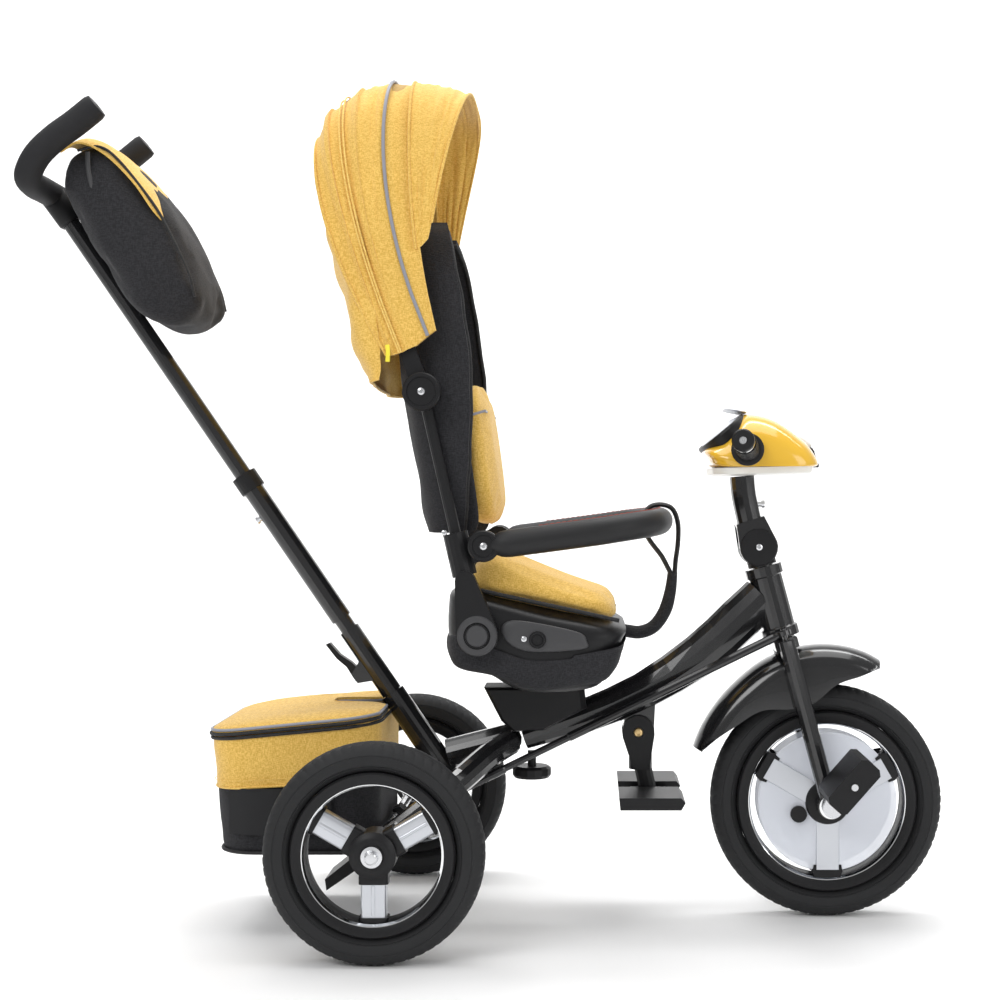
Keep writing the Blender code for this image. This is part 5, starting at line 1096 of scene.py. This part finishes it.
for side, sign in SIDES:
    spots = [0.093, 0.0936, 0.0962, 0.0968, 0.0975, 0.1]
    radii = [0.019, 0.0203, 0.0203, 0.019, 0.0152, 0.0142]
    for k in range(26):
        spots += [0.101 + 0.0025 * k, 0.1018 + 0.0025 * k, 0.1026 + 0.0025 * k]
        radii += [0.0134, 0.0142, 0.0142]
    grip = tube(
        f"grip_sleeve_{side}", [bar_point(sign * y) for y in spots], radii, "satin_black", "handlebar",
        32, across=UP
    )
    stands_in(f"grip_{side}")
    band = [bar_point(sign * y) for y in (0.166, 0.167, 0.179, 0.18)]
    tube(f"grip_band_{side}", band, [0.0126, 0.0132, 0.0132, 0.0126], "chrome", "handlebar", 32, across=UP)
    end = bar_point(sign * 0.18)
    out = (bar_point(sign * 0.19) - end).normalized()
    cap = [
        (0.0045, 0.0), (0.0045, 0.01), (0.006, 0.0112), (0.0118, 0.0112), (0.0135, 0.0092),
        (0.0137, 0.001), (0.0126, 0.0)
    ]
    turned(f"grip_end_{side}", cap, end, out, "satin_black", "handlebar", 40, True)
    disc = [(0.0, 0.0), (0.0225, 0.0), (0.0235, 0.0008), (0.0228, 0.0018), (0.01, 0.0022), (0.0, 0.0022)]
    knuckle_side = on_steer(FOLD_ALONG, 0.0, sign * 0.0201)
    turned(f"fold_disc_{side}", disc, knuckle_side, ACROSS * sign, "satin_black", "handlebar", 48)
    screw(
        f"fold_screw_{side}", knuckle_side + ACROSS * (sign * 0.0021), ACROSS * sign, 0.005, "zinc",
        "handlebar"
    )

# Handle and bag
top = on_bar(0.93)
half = [
    top + Vector((0.092, -0.112, 0.088)), top + Vector((0.066, -0.112, 0.067)),
    top + Vector((0.04, -0.112, 0.048)), top + Vector((0.018, -0.11, 0.027)),
    top + Vector((0.003, -0.097, 0.006)), top + Vector((0.0, -0.067, 0.0)),
    top + Vector((0.0, -0.034, 0.0)), top.copy()
]
handle_line = curve_through(both_sides(half), 6)
sizes = [0.0166] * len(handle_line)
sizes[0] = sizes[-1] = 0.015
handle = tube("handle_foam", handle_line, sizes, "foam", "push_bar_top", 32, across=UP)
stands_in("push_handle")
knuckle = [(0.0, 0.0), (0.0125, 0.0), (0.015, 0.004), (0.0158, 0.03), (0.0165, 0.044), (0.0, 0.044)]
turned("handle_knuckle", knuckle, on_bar(0.884), BAR_UP, "satin_black", "push_bar_top", 40)
for side, sign in SIDES:
    end = handle_line[0 if sign < 0 else -1]
    out = (half[0] - half[1]).normalized()
    out.y = 0.0
    hole = [(0.0035, 0.0006), (0.006, 0.001), (0.012, 0.0006), (0.014, -0.001), (0.0035, -0.001)]
    turned(f"handle_end_{side}", hole, end, out, "satin_black", "push_bar_top", 32, True)
BAG = (
    (-0.409, 0.935), (-0.4057, 0.9148), (-0.364, 0.844), (-0.3256, 0.7792), (-0.302, 0.756),
    (-0.2763, 0.7484), (-0.252, 0.759), (-0.2345, 0.776), (-0.2455, 0.8162), (-0.2763, 0.884),
    (-0.2948, 0.9087), (-0.3441, 0.966), (-0.3688, 0.974), (-0.398, 0.964)
)
bag = pillow("bag_body", BAG, 0.084, "black_cloth", None, 9.0, 28, wrinkle=0.005)
puffed(bag, 0.006, 2.5, 0.005)
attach(bag, "push_bar_top")
stands_in("handle_bag")
FLAP = ((-0.398, 0.976), (-0.375, 0.985), (-0.344, 0.97), (-0.31, 0.934), (-0.287, 0.9), (-0.271, 0.874))
flap_line = curve_through(points_of(FLAP), 8)
grid = []
for r, point in enumerate(flap_line):
    share = r / (len(flap_line) - 1)
    half_width = 0.088 - 0.026 * max(0.0, share - 0.8) / 0.2 * max(0.0, share - 0.8) / 0.2
    line = []
    for k in range(41):
        t = k / 40 * 2 - 1
        drop = 0.016 * abs(t) ** 6 * (1 - share * 0.6)
        wave = 0.0022 * noise.noise(Vector((t * 2.5, share * 4.0, 9.0)))
        line.append(point + ACROSS * (half_width * t) + Vector((-0.5, 0.0, -0.8)) * drop + UP * wave)
    grid.append(line)
flap = soft_sheet("bag_flap", grid, 0.0026, "yellow_cloth", "push_bar_top")
PIPING = (
    (-0.385, 0.964), (-0.36, 0.969), (-0.338, 0.956), (-0.306, 0.918), (-0.28, 0.88), (-0.249, 0.8162),
    (-0.24, 0.784)
)
for side, sign in SIDES:
    line = points_of(PIPING, sign * 0.085)
    tube(f"bag_piping_{side}", curve_through(line, 6), 0.0018, "black_webbing", "push_bar_top", 8)
    zip_line = curve_through(
        points_of(((-0.372, 0.962), (-0.371, 0.94), (-0.366, 0.915)), sign * 0.0868), 5
    )
    tube(f"bag_zip_{side}", zip_line, 0.003, "dark_grey", "push_bar_top", 8, across=AHEAD, flat=0.5)

# Basket
def rim_height(forward):
    return 0.244 + 0.02 * (forward + 0.216) / 0.2065


def basket_ring(share, inset, sag=0.0, lift=0.0):
    """A ring round the basket; share is 0 at its floor and 1 at its rim."""
    low = 0.012 * (1 - share)
    narrow = 0.008 * (1 - share)
    base = rounded_rectangle(
        -0.216 + low + inset, -0.0095 - inset, 0.13 - narrow - inset, 0.045 - inset * 0.6
    )
    ring = []
    for k, (x, y) in enumerate(base):
        z = 0.1 + (rim_height(x) - 0.1) * share + lift
        crease = noise.noise(Vector((x * 30.0, y * 30.0, share * 5.0))) * sag
        ring.append(place(x + crease * (1 if x > -0.11 else -1), z, y + crease * (1 if y > 0 else -1)))
    return ring


BAND = 0.6
lower = [basket_ring(0.0, 0.014), basket_ring(0.0, 0.005, lift=0.0015), basket_ring(0.03, 0.001)]
lower += [basket_ring(s, 0.0004, 0.0022) for s in (0.1, 0.2, 0.3, 0.4, 0.5, BAND)]
lower += [basket_ring(BAND, 0.003), basket_ring(0.05, 0.003)]
basket = loft("basket_lower", lower, "black_cloth", "frame", smooth=50.0)
stands_in("basket_body")
upper = [basket_ring(s, -0.0008, 0.0018) for s in (BAND - 0.04, BAND, 0.7, 0.8, 0.9, 1.0)]
upper += [basket_ring(1.0, 0.0016), basket_ring(BAND - 0.04, 0.0016)]
loft("basket_band", upper, "yellow_cloth", "frame", closed=True, smooth=50.0)
for label, share, finish, radius in (
    ("rim_piping", 0.985, "black_webbing", 0.0022),
    ("band_hem", BAND - 0.03, "yellow_cloth", 0.0016),
    ("floor_piping", 0.035, "black_webbing", 0.0022),
):
    tube(f"basket_{label}", basket_ring(share, -0.0012), radius, finish, "frame", 8, across=UP, closed=True)
stitches("basket_stitches", basket_ring(BAND + 0.03, -0.0026), "pale_yellow_cloth", "frame", width=0.0005)
for side, sign in SIDES:
    rings = []
    for x in (-0.19, -0.165, -0.13, -0.095, -0.065):
        y = sign * (0.1285 if x > -0.17 else 0.118)
        rings.append(
            [
                place(x, z, y + sign * dy)
                for z, dy in ((0.128, 0.0), (0.184, 0.0025), (0.184, 0.0037), (0.128, 0.0012))
            ]
        )
    loft(f"basket_window_{side}", rings, "black_net", "frame")


def notched(ring):
    """Room in the lid's front edge for the push bar and its latch."""
    made = []
    for point in ring:
        forward = point.x - REAR_AXLE_X
        bar_depth = 0.024 * max(0.0, 1.0 - (abs(point.y) / 0.03) ** 4)
        latch_depth = 0.07 * max(0.0, 1.0 - (abs(point.y) / 0.021) ** 8)
        front = -0.0095 - max(bar_depth, latch_depth)
        made.append(Vector((min(forward, front) + REAR_AXLE_X, point.y, point.z)))
    return made


def lid_ring(inset, lift):
    base = rounded_rectangle(-0.216 + inset, -0.0095 - inset, 0.13 - inset, 0.045 - inset * 0.5)
    points = []
    for (x, y), (x2, y2) in zip(base, base[1:] + base[:1]):
        points.append((x, y))
        if math.hypot(x2 - x, y2 - y) > 0.02:
            points += [(x + (x2 - x) * k / 40, y + (y2 - y) * k / 40) for k in range(1, 40)]
    made = []
    for x, y in points:
        crown = noise.noise(Vector((x * 14.0, y * 14.0, 3.0))) * 0.004 * min(1.0, inset / 0.03)
        made.append(place(x, rim_height(x) + lift + crown, y))
    return notched(made)


lid_rings = [
    lid_ring(0.004, 0.0012), lid_ring(-0.001, 0.002), lid_ring(-0.0015, 0.006), lid_ring(0.001, 0.01)
]
lid_rings += [
    lid_ring(0.008, 0.0125), lid_ring(0.018, 0.0145), lid_ring(0.032, 0.0155), lid_ring(0.05, 0.0158)
]
lid = loft("basket_lid_cloth", lid_rings, "yellow_cloth", "basket_lid", smooth=55.0)
stands_in("basket_lid")
tube(
    "basket_lid_piping_black", lid_ring(-0.0024, 0.003), 0.0022, "black_webbing", "basket_lid", 8,
    across=UP, closed=True
)
tube(
    "basket_lid_piping_grey", lid_ring(-0.0016, 0.0078), 0.0018, "grey_piping", "basket_lid", 8,
    across=UP, closed=True
)


# Floor, light and camera
def studio():
    rows = []
    profile = [(-4.0, 0.0), (2.2, 0.0)]
    profile += [
        (2.2 + 1.4 * math.sin(a), 1.4 - 1.4 * math.cos(a)) for a in [
            math.pi / 2 * k / 10 for k in range(1, 11)
        ]
    ]
    profile.append((3.6, 6.0))
    bm = bmesh.new()
    for x in (-7.0, 7.0):
        rows.append([bm.verts.new((x, y, z)) for y, z in profile])
    for i in range(len(profile) - 1):
        bm.faces.new((rows[0][i], rows[1][i], rows[1][i + 1], rows[0][i + 1]))
    mesh = bpy.data.meshes.new("studio_floor")
    bm.to_mesh(mesh)
    bm.free()
    paper = Paint("studio_paper", (0.9, 0.9, 0.9), 0.7)
    paper.set("Roughness", paper.noise(3.0) * 0.1 + 0.65)
    mesh.materials.append(paper.material)
    mesh.shade_smooth()
    floor = bpy.data.objects.new("studio_floor", mesh)
    bpy.context.scene.collection.objects.link(floor)


def softbox(name, spot, target, size, power):
    light = bpy.data.lights.new(name, "AREA")
    light.shape = "RECTANGLE"
    light.size, light.size_y = size
    light.energy = power
    lamp = bpy.data.objects.new(name, light)
    lamp.location = spot
    lamp.rotation_euler = (Vector(target) - Vector(spot)).to_track_quat("-Z", "Y").to_euler()
    bpy.context.scene.collection.objects.link(lamp)


studio()
softbox("top_light", (0.0, 0.1, 3.0), (0.0, 0.0, 0.4), (3.2, 2.6), 62.0)
softbox("key_light", (-1.6, -2.6, 2.5), (0.0, 0.0, 0.5), (1.8, 1.4), 40.0)
softbox("fill_light", (2.4, -2.2, 1.3), (0.1, 0.0, 0.4), (1.4, 1.8), 20.0)
softbox("paper_light", (0.0, 1.0, 3.2), (0.0, 3.4, 1.2), (5.0, 1.2), 130.0)
world = bpy.data.worlds.new("studio_air")
bpy.context.scene.world = world
world.use_nodes = True
world.node_tree.nodes["Background"].inputs["Color"].default_value = (1.0, 1.0, 1.0, 1.0)
world.node_tree.nodes["Background"].inputs["Strength"].default_value = 0.42
bpy.context.scene.view_settings.view_transform = "Standard"
view = bpy.data.cameras.new("side_view")
view.lens = 58.9
view.shift_x = -0.091
view.shift_y = -0.006
camera = bpy.data.objects.new("side_view", view)
camera.location = CAMERA_SPOT
camera.rotation_euler = (math.pi / 2, 0.0, 0.0)
bpy.context.scene.collection.objects.link(camera)
bpy.context.scene.camera = camera
